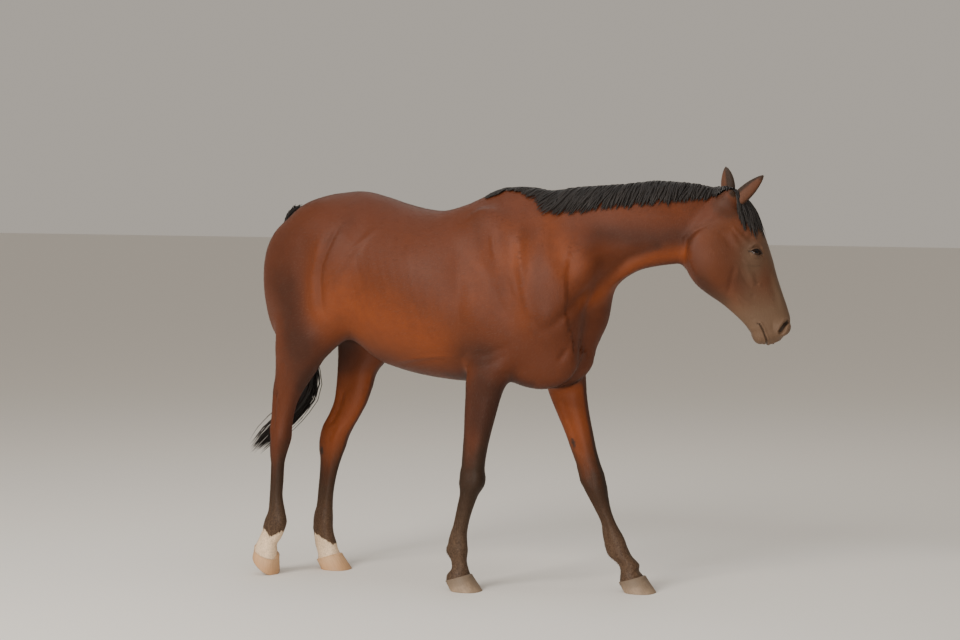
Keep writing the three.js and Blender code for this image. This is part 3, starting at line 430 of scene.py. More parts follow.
class Skin:  # points and triangles
    def __init__(self, points, triangles):
        self.points, self.triangles = points, triangles

    def edges(self):
        pairs = np.sort(self.triangles[:, [0, 1, 1, 2, 2, 0]].reshape(-1, 2), axis=1)
        keys, which = np.unique(pairs[:, 0] * len(self.points) + pairs[:, 1], return_inverse=True)
        return keys // len(self.points), keys % len(self.points), which.reshape(-1, 3)

    def normals(self):
        a, b, c = (self.points[self.triangles[:, i]] for i in range(3))
        flat = np.cross(b - a, c - a)
        return unit(self.gather(np.repeat(flat, 3, 0), self.triangles.ravel()))

    def gather(self, values, at):
        return np.stack([np.bincount(at, column, len(self.points)) for column in values.T], 1)

    def around(self, a, b):  # the mean of each point's neighbours, along the edges from a to b
        both, other = np.concatenate([a, b]), np.concatenate([b, a])
        count = np.bincount(both, minlength=len(self.points))
        return self.gather(self.points[other], both) / count[:, None]

    # Halves the edges that are longer than the wanted length where they lie.
    def split(self, wanted):
        a, b, which = self.edges()
        limit = np.minimum(wanted[a], wanted[b])
        long = np.linalg.norm(self.points[a] - self.points[b], axis=1) > limit
        fresh = np.full(len(a), -1)
        fresh[long] = len(self.points) + np.arange(long.sum())
        self.points = np.vstack([self.points, (self.points[a] + self.points[b])[long] / 2])
        new = fresh[which]
        # Columns 0 to 2 are the corners, and 3 to 5 the middles of the edges that start at them.
        rows, cuts = np.concatenate([self.triangles, new], 1), (new >= 0).sum(1)
        out = [self.triangles[cuts == 0]]
        out += [rows[cuts == 3][:, c] for c in ([0, 3, 5], [1, 4, 3], [2, 5, 4], [3, 4, 5])]
        turns = [(i, (i + 1) % 3, (i + 2) % 3) for i in range(3)]
        for i, j, k in turns:
            some = rows[(cuts == 1) & (new[:, i] >= 0)]
            out += [some[:, [i, i + 3, k]], some[:, [i + 3, j, k]]]
        for i, j, k in turns:
            some = rows[(cuts == 2) & (new[:, i] < 0)]
            out += [some[:, c] for c in ([k, k + 3, j + 3], [k + 3, i, j], [k + 3, j, j + 3])]
        self.triangles = np.concatenate(out)


# One point for each cell of a grid that the surface crosses, and one face for each crossed edge.
def surfaceOf(field, low, high, cell):
    low = np.array(low, float)
    count = np.ceil((np.array(high) - low) / cell).astype(int) + 1
    axes = [low[i] + cell * np.arange(count[i]) for i in range(3)]
    grid = np.stack(np.meshgrid(*axes, indexing="ij"), -1).reshape(-1, 3)
    d = field.at(grid).reshape(count)
    inside = d < 0
    corners = [(i, j, k) for i in (0, 1) for j in (0, 1) for k in (0, 1)]
    end = count - 1
    full = sum(inside[i : end[0] + i, j : end[1] + j, k : end[2] + k].astype(int) for i, j, k in corners)
    cells = np.argwhere((full > 0) & (full < 8))
    pointAt = np.full(end, -1)
    pointAt[tuple(cells.T)] = np.arange(len(cells))
    value = {corner: d[tuple((cells + corner).T)] for corner in corners}
    total, crossings = np.zeros((len(cells), 3)), np.zeros(len(cells))
    for corner in corners:
        for axis in range(3):
            if corner[axis]:
                continue
            a, b = value[corner], value[tuple(1 if i == axis else corner[i] for i in range(3))]
            met = (a < 0) != (b < 0)
            place = np.tile(np.array(corner, float), (len(cells), 1))
            place[:, axis] = np.where(met, a / np.where(met, a - b, 1), 0)
            total += place * met[:, None]
            crossings += met
    points = (cells + total / crossings[:, None]) * cell + low
    quads = []
    for axis, (p, q) in enumerate([(1, 2), (2, 0), (0, 1)]):
        here = np.take(inside, range(end[axis]), axis)
        met = np.argwhere(here != np.take(inside, range(1, count[axis]), axis))
        met = met[(met[:, p] > 0) & (met[:, q] > 0) & (met[:, p] < end[p]) & (met[:, q] < end[q])]
        around = []
        for m, n in ((1, 1), (0, 1), (0, 0), (1, 0)):
            at = met.copy()
            at[:, p] -= m
            at[:, q] -= n
            around.append(pointAt[tuple(at.T)])
        quad = np.stack(around, 1)
        back = ~here[tuple(met.T)]
        quad[back] = quad[back][:, ::-1]
        quads.append(quad)
    quads = np.concatenate(quads)
    return Skin(points, np.concatenate([quads[:, [0, 1, 2]], quads[:, [0, 2, 3]]]))


# Moves points onto the surface that lies the coat's depth inside the body.
def settle(field, points, rounds=3, probe=0.6):
    corners = np.array([(1, 1, 1), (1, -1, -1), (-1, 1, -1), (-1, -1, 1)]) * probe
    points = points.copy()
    for _ in range(rounds):
        around = [field.at(points + corner) for corner in corners]
        slope = sum(value[:, None] * corner for value, corner in zip(around, corners)) / (4 * probe**2)
        value = sum(around) / 4 + build["coatDepth"]
        move = value[:, None] * slope / np.maximum((slope**2).sum(1), 0.3)[:, None]
        points -= np.clip(move, -6, 6)
    return points


earShape = {"length": 158, "sides": 32, "steps": 44, "wall": 4.2, "sink": 0.1}


def earPlace(side):
    ear = ears[side]
    along = unit(ear["axis"])
    front = np.array(ear["opening"], float)
    front = unit(front - along * (front @ along))
    return Place(face.world(ear["root"]), along, np.cross(along, front), front)


# Rings of one ear: a back that bulges, and a front that is hollow and opens into the head.
def earRings(side):
    t = np.linspace(-earShape["sink"], 0.995, earShape["steps"])
    angle = np.linspace(0, 2 * math.pi, earShape["sides"], endpoint=False)
    half, back, hollow = (x[:, None] for x in curveThrough(earSections)(t))
    c, s = np.cos(angle), np.sin(angle)
    wall = np.minimum(earShape["wall"], back * 0.45)
    cupped = eased(0.0, 0.14, t)[:, None]
    deep = np.clip(back - wall, -16, None) * cupped + hollow * (1 - cupped)
    v = half * c * (0.9 + 0.1 * np.abs(s))
    w = np.where(s > 0, -back * np.abs(s) ** 0.9, -deep * np.abs(s) ** 0.8)
    rings = np.stack(np.broadcast_arrays(t[:, None] * earShape["length"], v, w + 0 * v), -1)
    return earPlace(side).world(rings)


def closedOver(rings):  # a closed skin over rings, with a cap at each end, facing outwards
    count, sides = rings.shape[:2]
    ids = np.arange(count * sides).reshape(count, sides)
    after = np.roll(ids, -1, axis=1)
    a, b, c, d = ids[:-1], after[:-1], after[1:], ids[1:]
    triangles = [np.stack(x, -1).reshape(-1, 3) for x in ((a, b, c), (a, c, d))]
    points = np.vstack([rings.reshape(-1, 3), rings[0].mean(0), rings[-1].mean(0)])
    triangles.append(np.stack([np.full(sides, count * sides), after[0], ids[0]], 1))
    triangles.append(np.stack([np.full(sides, count * sides + 1), ids[-1], after[-1]], 1))
    skin = Skin(points, np.concatenate(triangles))
    a, b, c = (skin.points[skin.triangles[:, i]] - skin.points.mean(0) for i in range(3))
    if (np.cross(a, b) * c).sum() < 0:
        skin.triangles = skin.triangles[:, ::-1]
    return skin


def inPlace(points):  # from the horse's millimetres to the model's metres
    return (points + shift) / 1000


def meshOf(name, points, triangles):  # points in metres
    mesh = bpy.data.meshes.new(name)
    mesh.vertices.add(len(points))
    mesh.vertices.foreach_set("co", np.asarray(points, np.float32).ravel())
    mesh.loops.add(triangles.size)
    mesh.loops.foreach_set("vertex_index", triangles.astype(np.int32).ravel())
    mesh.polygons.add(len(triangles))
    mesh.polygons.foreach_set("loop_start", np.arange(0, triangles.size, 3, dtype=np.int32))
    mesh.polygons.foreach_set("loop_total", np.full(len(triangles), 3, np.int32))
    mesh.update(calc_edges=True)
    return mesh


def store(mesh, name, values, kind="FLOAT", domain="POINT"):
    values = np.asarray(values)
    if kind == "FLOAT_COLOR":
        values = np.concatenate([values, np.ones((len(values), 1))], 1)
    layer = mesh.attributes.new(name, kind, domain)
    title = {"FLOAT": "value", "FLOAT_COLOR": "color", "FLOAT_VECTOR": "vector"}[kind]
    layer.data.foreach_set(title, values.astype(np.float32).ravel())


def objectOf(name, data):
    made = bpy.data.objects.new(name, data)
    bpy.context.scene.collection.objects.link(made)
    return made


def smoothPiece(name, skin, material):
    made = objectOf(name, meshOf(name, inPlace(skin.points), skin.triangles))
    made.data.polygons.foreach_set("use_smooth", np.ones(len(skin.triangles), bool))
    made.data.materials.append(material)
    return made


def handOver(piece, slot, *nodes):
    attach(piece, "root")
    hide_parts(*nodes)


# The body and both ears as one closed skin.
def joinEars(skin):
    body = objectOf("bodyJoin", meshOf("bodyJoin", skin.points / 1000, skin.triangles))
    spare = []
    for side in ears:
        ear = closedOver(earRings(side))
        spare.append(objectOf("earJoin", meshOf("earJoin", ear.points / 1000, ear.triangles)))
        joint = body.modifiers.new("join", "BOOLEAN")
        joint.operation, joint.solver, joint.object = "UNION", "MANIFOLD", spare[-1]
    mesh = bpy.data.meshes.new_from_object(body.evaluated_get(bpy.context.evaluated_depsgraph_get()))
    mesh.calc_loop_triangles()
    points = np.empty(len(mesh.vertices) * 3, np.float32)
    mesh.vertices.foreach_get("co", points)
    triangles = np.empty(len(mesh.loop_triangles) * 3, np.int32)
    mesh.loop_triangles.foreach_get("vertices", triangles)
    for item in [body, *spare]:
        bpy.data.objects.remove(item)
    return Skin(points.reshape(-1, 3).astype(float) * 1000, triangles.reshape(-1, 3).astype(int))


def alongPath(points, path):  # distance to a path and the share of its length
    path = np.array(path, float).reshape(-1, 2)
    if len(path) == 1:
        return np.linalg.norm(points - path[0], axis=1), np.zeros(len(points))
    lengths = np.concatenate([[0], np.cumsum(np.linalg.norm(np.diff(path, axis=0), axis=1))])
    best, share = np.full(len(points), 1e9), np.zeros(len(points))
    for i, (a, b) in enumerate(zip(path[:-1], path[1:])):
        t = np.clip(((points - a) @ (b - a)) / ((b - a) @ (b - a)), 0, 1)
        d = np.linalg.norm(points - a - t[:, None] * (b - a), axis=1)
        nearer = d < best
        best[nearer] = d[nearer]
        share[nearer] = ((lengths[i] + t * (lengths[i + 1] - lengths[i])) / lengths[-1])[nearer]
    return best, share


def ridges(points, table, ends=0.3):
    total = np.zeros(len(points))
    for height, width, *path in table:
        d, share = alongPath(points, path)
        fades = ends and len(path) > 2
        taper = eased(0, ends, share) * eased(0, ends, 1 - share) * 0.85 + 0.15 if fades else 1
        total += height * bell(d, width) * taper
    return total


# Ridges and grooves as [height, width, path], the path in x and z in turn, for the right side.
trunkRelief = [
    [-7, 12, -245, 1500, -265, 1465, -280, 1430, -305, 1365, -330, 1300, -337, 1235, -332, 1170, -318,
      1090], [6.5, 18, -335, 1420, -352, 1350, -372, 1260, -368, 1130, -335, 1070],
    [5, 15, -90, 1470, -150, 1410, -200, 1355, -243, 1290, -290, 1225, -316, 1160, -312, 1085],
    [-2, 60, -185, 1470, -230, 1410], [2.5, 32, -262, 1525], [3, 28, -225, 1560, -270, 1500],
    [-4.5, 34, -520, 1330, -505, 1200, -520, 1080, -545, 980], [5, 38, -395, 1010],
    [-3, 40, -440, 1470, -400, 1350, -430, 1200],
    [2.6, 8, -75, 905, 20, 925, 100, 938, 195, 948, 260, 940],
    [-1.8, 9, -75, 888, 20, 908, 100, 922, 195, 932], [-2, 60, -60, 1400, 60, 1390],
]
barrelRibs = {"first": 190, "step": -44, "count": 9, "height": 0.7, "width": 15, "lean": -0.32}
shoulderRelief = [
    [4.5, 16, 480, 1515, 505, 1440, 522, 1370, 536, 1280, 555, 1190, 575, 1100, 588, 1020],
    [-4.5, 24, 450, 1480, 475, 1380, 492, 1280, 515, 1180],
    [-1.8, 24, 535, 1500, 558, 1400, 575, 1300, 600, 1210], [3.5, 12, 395, 1440, 408, 1390, 422, 1330],
    [3.2, 10, 485, 1290, 500, 1240, 516, 1185],
    [-4.5, 24, 252, 1360, 268, 1290, 284, 1210, 284, 1120, 272, 1020, 282, 950],
    [6.5, 40, 330, 1330, 345, 1220, 350, 1120, 350, 1030],
    [-5, 15, 305, 940, 350, 955, 400, 965, 450, 985, 490, 1005], [-4, 13, 360, 905, 420, 935, 475, 975],
    [4.5, 22, 395, 900, 440, 900, 500, 880], [-6, 12, 700, 1000, 680, 965, 655, 930],
    [6, 40, 640, 1120], [-3.5, 20, 560, 1120, 600, 1080, 640, 1040],
    [-3.5, 18, 420, 1250, 440, 1180, 480, 1110],
]
# The same for the neck, in its own length and height.
neckRelief = [
    [-11, 20, 560, 1385, 446, 1338, 372, 1268, 274, 1188, 224, 1135, 169, 1080, 101, 1048],
    [7, 22, 553, 1345, 460, 1298, 378, 1232, 275, 1140, 221, 1085],
    [5, 30, 520, 1420, 400, 1385, 300, 1310],
    [-5, 34, 665, 1462, 550, 1450, 442, 1438, 314, 1442, 220, 1450],
    [4, 34, 660, 1520, 540, 1520, 420, 1515, 300, 1520],
    [5, 28, 96, 1500, 133, 1370, 166, 1290, 200, 1205],
    [-3.5, 30, 150, 1480, 190, 1390, 225, 1300, 250, 1230], [-4, 10, 712, 1470, 700, 1420, 690, 1360],
]
# The same for the side of the head, down the face and behind the face line.
faceRelief = [
    [4.5, 7, 114, 126, 142, 120, 169, 108, 198, 92], [-7, 16, 186, 76], [-3.5, 11, 150, 98, 176, 90],
    [4, 12, 228, 122, 180, 136, 122, 140], [-3, 12, 205, 158, 150, 170, 118, 190],
    [3.5, 12, 112, 132, 112, 219, 106, 289],
    [-9, 9, 78, 150, 80, 205, 86, 260, 108, 304, 148, 322, 186, 328],
    [2.4, 9, 262, 122, 307, 126, 345, 118, 372, 106],
    [-2.4, 9, 262, 148, 305, 152, 342, 143, 364, 128, 380, 112], [3, 7, 374, 92],
    [-4.5, 11, 256, 160, 300, 190, 346, 210, 374, 236], [5, 55, 210, 235],
    [1.7, 4.6, 372, 188, 404, 172, 430, 150, 446, 126], [1.8, 4, 385, 192, 428, 186, 456, 180],
    [-2.5, 9, 396, 136, 416, 128], [-1.6, 2.6, 474, 96, 484, 62], [-1.4, 2.6, 468, 126, 482, 98],
    [-1.2, 2.4, 462, 110, 470, 82], [-2.5, 14, 330, 44, 420, 46, 500, 44],
    [2.5, 10, 330, 24, 420, 24, 500, 26], [2.5, 12, 520, 172, 545, 178], [3, 10, 560, 172],
    [-2.2, 5, 500, 152, 488, 160], [3.4, 4.5, 574, 86, 552, 70, 536, 44, 540, 20, 556, 10],
    [2.4, 4, 592, 66, 580, 44, 568, 22], [-2, 8, 528, 88, 556, 96, 588, 92],
]
mouthPath = [516, 147, 521, 139, 547, 135, 573, 134, 594, 132, 618, 133]
nostrilPath = [577, 70, 566, 58, 556, 44, 551, 28]
# Sections of the legs: [z low, z high, place between back -1 and front 1, width, height].
legRelief = {
    "fore": [
        [245, 400, -0.28, 8, -4.5], [250, 395, 0.35, 9, 1.6], [430, 492, -0.8, 13, 4],
        [425, 500, 0.15, 12, -2.2], [455, 480, 0.8, 12, 2.5], [205, 245, -0.75, 15, 3.5],
        [200, 240, 0.1, 12, 2.2], [125, 165, -0.45, 10, -3], [560, 760, -0.1, 13, -4],
        [560, 780, 0.55, 14, 2.5],
    ],
    "hind": [
        [265, 470, -0.25, 8, -4.5], [270, 470, 0.4, 9, 1.6], [620, 760, -0.42, 13, -9],
        [540, 600, 0.25, 15, 3.5], [560, 610, -0.1, 11, -3.5], [490, 545, -0.75, 13, 2.5],
        [205, 245, -0.75, 15, 3.5], [205, 245, 0.1, 12, 2], [130, 165, -0.45, 10, -3],
        [760, 900, -0.2, 18, -4],
    ],
}


def mouthDepth(points):
    d, share = alongPath(points, mouthPath)
    corner = eased(0, 0.12, share)
    return 2.6 * bell(d - 7, 4.5) * corner - 5.5 * bell(d, 2.4) * (0.4 + 0.6 * corner)


def nostrilDepth(points):
    d, share = alongPath(points, nostrilPath)
    return -17 * (1 - eased(0.35, 1.15, d / (13.5 - 5 * share)))


# Which leg a low point belongs to, and its place in that leg's section, in shares of its depth.
def legPlace(points):
    which = np.full(len(points), -1)
    share, depth = np.zeros(len(points)), np.ones(len(points))
    best = np.full(len(points), 1e9)
    for i, (leg, rows) in enumerate(legSections.items()):
        x, y, behind, inFront, half = curveThrough(rows[::-1])(points[:, 2])
        c, s = turned(legTurn[leg])
        dx, dy = points[:, 0] - x, points[:, 1] - y
        ahead, aside = dx * c + dy * s, dy * c - dx * s
        d = np.hypot(ahead / (behind + inFront), aside / (2 * half))
        nearer = (d < best) & (d < 1.2)
        best[nearer], which[nearer] = d[nearer], i
        share[nearer] = np.where(ahead < 0, ahead / behind, ahead / inFront)[nearer]
        depth[nearer] = np.where(ahead < 0, behind, inFront)[nearer]
    return which, share, depth


def neckCentre(points):  # sideways middle of the body at each place
    past = np.maximum(points[:, 0] - build["neckOrigin"][0], 0)
    return past * math.tan(math.radians(build["neckYaw"]))


# Places on the right side for points of either side: by the hind leg and by the foreleg.
def flanks(points, side):
    x, z = points[:, 0], points[:, 2]
    hindX = np.where(side > 0, x - 2 * swing["hindLeft"] * 0.6, x)
    foreX = np.where(side > 0, x - 2 * swing["foreLeft"], x)
    return np.stack([hindX, z], 1), np.stack([foreX, z], 1)


# How far the skin stands out from the plain shape, in millimetres.
def relief(points, normals):
    x, y, z = points.T
    side = np.where(normals[:, 1] > 0, 1, -1)
    facing = eased(0.2, 0.6, np.abs(normals[:, 1]))
    outer = ((y - neckCentre(points)) * side > 0) * eased(780, 900, z)
    u, v, w = face.local(points).T
    flat = np.stack([u, w], 1)
    onHead = eased(20, 60, u) * eased(1070, 1100, x) * (z > 900)
    rear, front = flanks(points, side)
    total = ridges(rear, trunkRelief) * facing * outer * (x < 320)
    total += ridges(front, shoulderRelief) * facing * outer * (x < 800)
    for i in range(barrelRibs["count"]):
        middle = barrelRibs["first"] + i * barrelRibs["step"] + (z - 1200) * barrelRibs["lean"]
        band = eased(930, 1040, z) * eased(1480, 1300, z)
        total += barrelRibs["height"] * bell(x - middle, barrelRibs["width"]) * band * facing * outer
    nu = neck.local(points)[:, 0]
    neckFacing = eased(0.2, 0.6, np.abs(normals @ neck.axes[1])) * eased(80, 140, nu)
    total += ridges(np.stack([nu, z], 1), neckRelief) * neckFacing * (1 - onHead) * eased(900, 1000, z)
    headFacing = eased(0.12, 0.5, np.abs(normals @ face.axes[1]))
    total += 0.72 * ridges(flat, faceRelief) * headFacing * onHead
    total += nostrilDepth(flat) * onHead * (np.abs(v) > 10)
    total += mouthDepth(flat) * onHead * np.maximum(headFacing, u > 590) * (u > 480)
    which, share, depth = legPlace(points)
    for i, leg in enumerate(legSections):
        mine = (which == i) & (z < 900)
        for bottom, top, place, width, height in legRelief["fore" if leg.startswith("fore") else "hind"]:
            band = eased(bottom - 22, bottom + 12, z[mine]) * eased(top + 22, top - 12, z[mine])
            lateral = eased(0.25, 0.7, np.abs(normals[mine, 1])) if abs(place) < 0.6 else 1
            total[mine] += height * bell((share[mine] - place) * depth[mine], width) * band * lateral
    return total


eyes = {
    "place": (246, 82, 79), "radius": 23, "cover": 2.8, "out": (-0.1, 0.95, -0.24),
    "nose": (0.52, 0, -0.86), "upper": 12.5, "lower": 10.5, "reach": 22.5,
}
# Folds round an eye as [upper 0 or lower 1, height, distance from the lid's edge, bend, width].
lidFolds = [
    [0, -2.8, 8.5, 0.004, 2.2], [0, -1.8, 13.5, 0.006, 2.0], [0, 1.3, 4, 0, 3], [1, -1.5, 6, 0, 2],
    [1, -1.1, 11, 0.003, 2.2],
]


# An eye's place: u to the corner by the nose, v to the upper lid, w out of the head.
def eyePlaceOf(side):
    a, b, c = eyes["place"]
    out = unit(np.array(eyes["out"]) * [1, side, 1]) @ face.axes
    nose = np.array(eyes["nose"]) @ face.axes
    nose = unit(nose - out * (nose @ out))
    upper = np.cross(out, nose)
    if upper @ face.axes[0] > 0:
        upper = -upper
    return Place(face.world((a, side * b, c)), nose, upper, out)


def lidEdges(a):
    share = np.clip(np.abs(a - 1) / eyes["reach"], 0, 1)
    upper = eyes["upper"] * (1 - share**2.2) ** 0.85 + 0.06 * a
    return upper - 1, -eyes["lower"] * (1 - share**2.0) ** 0.95


def shapeLids(points):
    points = points.copy()
    lidMask = np.zeros(len(points))
    for side in (-1, 1):
        place = eyePlaceOf(side)
        a, b, c = place.local(points).T
        near = (np.hypot(a, b) < 60) & (c > -6) & (c < 60)
        a, b, c = a[near], b[near], c[near]
        reach = np.hypot(a, b)
        ball = np.sqrt(np.maximum(eyes["radius"] ** 2 - reach**2, 0))
        cover = eyes["radius"] + eyes["cover"]
        lid = np.sqrt(np.maximum(cover**2 - reach**2, 0)) - eased(cover * 0.75, cover, reach) * 2
        shaped = -smoothMin(-c, -lid, 7)
        upper, lower = lidEdges(a)
        past = b - upper, lower - b
        around, wide = eased(52, 34, reach), eased(34, 22, np.abs(a))
        shaped += around * 4.5 * bell(past[0] - 21, 9) * eased(38, 20, np.abs(a))
        for edge, height, offset, bend, width in lidFolds:
            shaped += around * height * bell(past[edge] - offset - bend * a * a, width) * wide
        for depth, width, path in ((3, 2.4, (22, -1, 36, -7)), (2, 2, (-23, -1, -31, 1))):
            shaped -= depth * bell(alongPath(np.stack([a, b], 1), path)[0], width)
        inside = np.where(np.abs(a - 1) < eyes["reach"], np.minimum(-past[0], -past[1]), -5)
        opening = eased(-0.9, 1.1, inside)
        shaped = shaped * (1 - opening) + (ball - 5) * opening
        moved = c + (shaped - c) * eased(60, 46, reach)
        points[near] += (moved - c)[:, None] * place.axes[2]
        edge = bell(np.minimum(np.abs(past[0]), np.abs(past[1])), 2.2) * (np.abs(a) < 30) * (reach < 34)
        lidMask[near] = np.maximum(lidMask[near], edge)
    return points, lidMask


# The longest edges of the skin's triangles.
fine = {
    "trunk": 21, "folds": 10.5, "upperLeg": 15, "lowerLeg": 9.5, "head": 8, "jaw": 7, "muzzle": 4.6,
    "eye": 4, "lids": 2.1, "nostril": 2.6, "mouth": 2.8, "veins": 5, "earRoot": 5.5, "ear": 8,
}
jawEdge = [80, 205, 86, 260, 108, 304, 148, 322, 186, 328]
veinPaths = [372, 188, 404, 172, 430, 150, 446, 126], [262, 135, 307, 138, 345, 130, 372, 112]


# How long an edge may be at each place.
def wantedLength(points):
    x, y, z = points.T
    wanted = np.full(len(points), float(fine["trunk"]))
    wanted[z < 900] = fine["upperLeg"]
    wanted[z < 560] = fine["lowerLeg"]
    side = np.where(y > neckCentre(points), 1, -1)
    for places, table, reach in zip(flanks(points, side), (trunkRelief, shoulderRelief), (320, 800)):
        for height, width, *path in table:
            if len(path) > 2 and width < 19:
                close = (alongPath(places, path)[0] < 1.6 * width) & (x < reach) & (z > 850)
                wanted[close] = fine["folds"]
    u, v, w = face.local(points).T
    near, side = x > 1200, np.abs(v)

    def by(path, reach):
        return alongPath(np.stack([u, w], 1), path)[0] < reach

    for title, mine in (
        ("head", near & (u > 20)),
        ("jaw", by(jawEdge, 17) & (x > 1060) & (side > 18) & (z > 1200)),
        ("muzzle", near & (u > 495) & (w < 185)),
        ("eye", near & (np.hypot(u - 245, w - 80) < 58) & (side > 55)),
        ("lids", near & (np.hypot(u - 240, w - 80) < 36) & (side > 60)),
        ("nostril", near & by(nostrilPath, 17) & (side > 14)),
        ("mouth", near & by(mouthPath, 8)),
        ("veins", near & (side > 20) & (by(veinPaths[0], 14) | by(veinPaths[1], 24))),
    ):
        wanted[mine] = fine[title]
    for ear in ears:
        a, b, c = earPlace(ear).local(points).T
        mine = np.hypot(b, c) < 48
        wanted[mine & (a > -14) & (a < 30)] = fine["earRoot"]
        wanted[mine & (a >= 30) & (a < 170)] = fine["ear"]
    return wanted


def makeSkin(field):
    skin = surfaceOf(field, build["gridLow"], build["gridHigh"], build["gridCell"])
    skin.points = settle(field, skin.points)
    skin = joinEars(skin)
    for _ in range(5):
        before = len(skin.triangles)
        skin.split(wantedLength(skin.points))
        a, b, _ = skin.edges()
        onBody = field.at(skin.points) < 4
        for _ in range(2):
            normal = skin.normals()
            move = skin.around(a, b) - skin.points
            move -= normal * (move * normal).sum(1)[:, None]
            skin.points[onBody] += 0.5 * move[onBody]
        skin.points[onBody] = settle(field, skin.points[onBody], 2)
        if len(skin.triangles) < before * 1.005:
            break
    a, b, _ = skin.edges()
    nearEar = np.zeros(len(skin.points), bool)
    for ear in ears:
        u, v, w = earPlace(ear).local(skin.points).T
        nearEar |= (u > -30) & (u < 45) & (np.hypot(v, w) < 52)
    nearEar &= np.abs(field.at(skin.points)) < 9
    for _ in range(3):
        skin.points[nearEar] += 0.6 * (skin.around(a, b) - skin.points)[nearEar]
    return skin


def earness(points):  # 1 on the ears
    share = np.zeros(len(points))
    for ear in ears:
        u, v, w = earPlace(ear).local(points).T
        share = np.maximum(share, eased(-8, 18, u) * (u < 175) * eased(56, 44, np.hypot(v, w)))
    return share


# The skin with its muscles, veins, folds and lids, and the plain skin's points and normals.
def detailSkin(plain):
    base, normals = plain.points, plain.normals()
    ear = earness(base)
    moved = base + normals * (relief(base, normals) * (1 - ear))[:, None]
    moved, lidMask = shapeLids(moved)
    return Skin(moved, plain.triangles), base, normals, lidMask, ear


class Wire:  # a node's output, or a plain start for new nodes
    def __init__(self, tree, node=None, socket=None):
        self.tree, self.node, self.socket = tree, node, socket

    def add(self, kind, inputs=None, out=0, **settings):
        node = self.tree.nodes.new(kind)
        for name, value in settings.items():
            setattr(node, name, value)
        for name, value in (inputs or {}).items():
            if isinstance(value, Wire):
                self.tree.links.new(value.socket, node.inputs[name])
            else:
                node.inputs[name].default_value = value
        return Wire(self.tree, node, node.outputs[out] if node.outputs else None)

    def out(self, name):
        return Wire(self.tree, self.node, self.node.outputs[name])

    def maths(self, operation, *values):
        return self.add("ShaderNodeMath", dict(enumerate(values)), operation=operation)

    def vector(self, operation, *values):
        return self.add("ShaderNodeVectorMath", dict(enumerate(values)), operation=operation)

    def scaled(self, vector, size):
        return self.add("ShaderNodeVectorMath", {0: vector, "Scale": size}, operation="SCALE")

    def combined(self, x, y, z=0.0):
        return self.add("ShaderNodeCombineXYZ", {"X": x, "Y": y, "Z": z})

    def parts(self):
        node = self.add("ShaderNodeSeparateXYZ", {"Vector": self})
        return [node.out(axis) for axis in "XYZ"]

    def __add__(self, other):
        return self.maths("ADD", self, other)

    def __sub__(self, other):
        return self.maths("SUBTRACT", self, other)

    def __rsub__(self, other):
        return self.maths("SUBTRACT", other, self)

    def __mul__(self, other):
        return self.maths("MULTIPLY", self, other)

    __radd__ = __add__
    __rmul__ = __mul__

    def between(self, low, high):  # 0 at low, 1 at high, eased
        limits = {"Value": self, "From Min": low, "From Max": high}
        return self.add("ShaderNodeMapRange", limits, interpolation_type="SMOOTHSTEP")

    def blend(self, first, second, share):
        first, second = (colour if isinstance(colour, Wire) else (*colour, 1) for colour in (first, second))
        return self.add("ShaderNodeMix", {0: share, 6: first, 7: second}, 2, data_type="RGBA")

    def mix(self, other, share):  # this colour turned into another
        return self.blend(self, other, share)

    def noise(self, where, scale, detail=2, rough=0.5):
        inputs = {"Vector": where, "Scale": scale, "Detail": detail, "Roughness": rough}
        return self.add("ShaderNodeTexNoise", inputs)

    def attribute(self, title, out=2):
        return self.add("ShaderNodeAttribute", out=out, attribute_name=title)

    def channels(self, title):  # the three values stored on a mesh under a name
        node = self.add("ShaderNodeSeparateColor", {"Color": self.attribute(title, 0)})
        return [node.out(channel) for channel in ("Red", "Green", "Blue")]

    def place(self, stretch=(1, 1, 1)):  # the place on the object
        where = self.add("ShaderNodeTexCoord", out=3)
        return self.add("ShaderNodeMapping", {"Vector": where, "Scale": stretch})

    def bump(self, height, strength, distance):
        return self.add("ShaderNodeBump", {"Height": height, "Strength": strength, "Distance": distance})


def newMaterial(name):
    material = bpy.data.materials.new(name)
    material.use_nodes = True
    tree = material.node_tree
    surface = tree.nodes["Principled BSDF"]

    def finish(**sockets):
        for title, value in sockets.items():
            socket = surface.inputs[title.replace("_", " ")]
            if isinstance(value, Wire):
                tree.links.new(value.socket, socket)
            else:
                socket.default_value = value
        return material

    return Wire(tree), finish


coatColours = {
    "bay": (0.092, 0.0235, 0.0085),
    "warm": (0.205, 0.047, 0.0105),
    "dark": (0.043, 0.0135, 0.0068),
    "blackPoints": (0.027, 0.0145, 0.008),
    "grey": (0.125, 0.074, 0.044),
    "white": (0.93, 0.71, 0.48),
    "skin": (0.022, 0.016, 0.013),
    "dust": (0.2, 0.125, 0.075),
    "tips": (0.5, 0.42, 0.34),
}


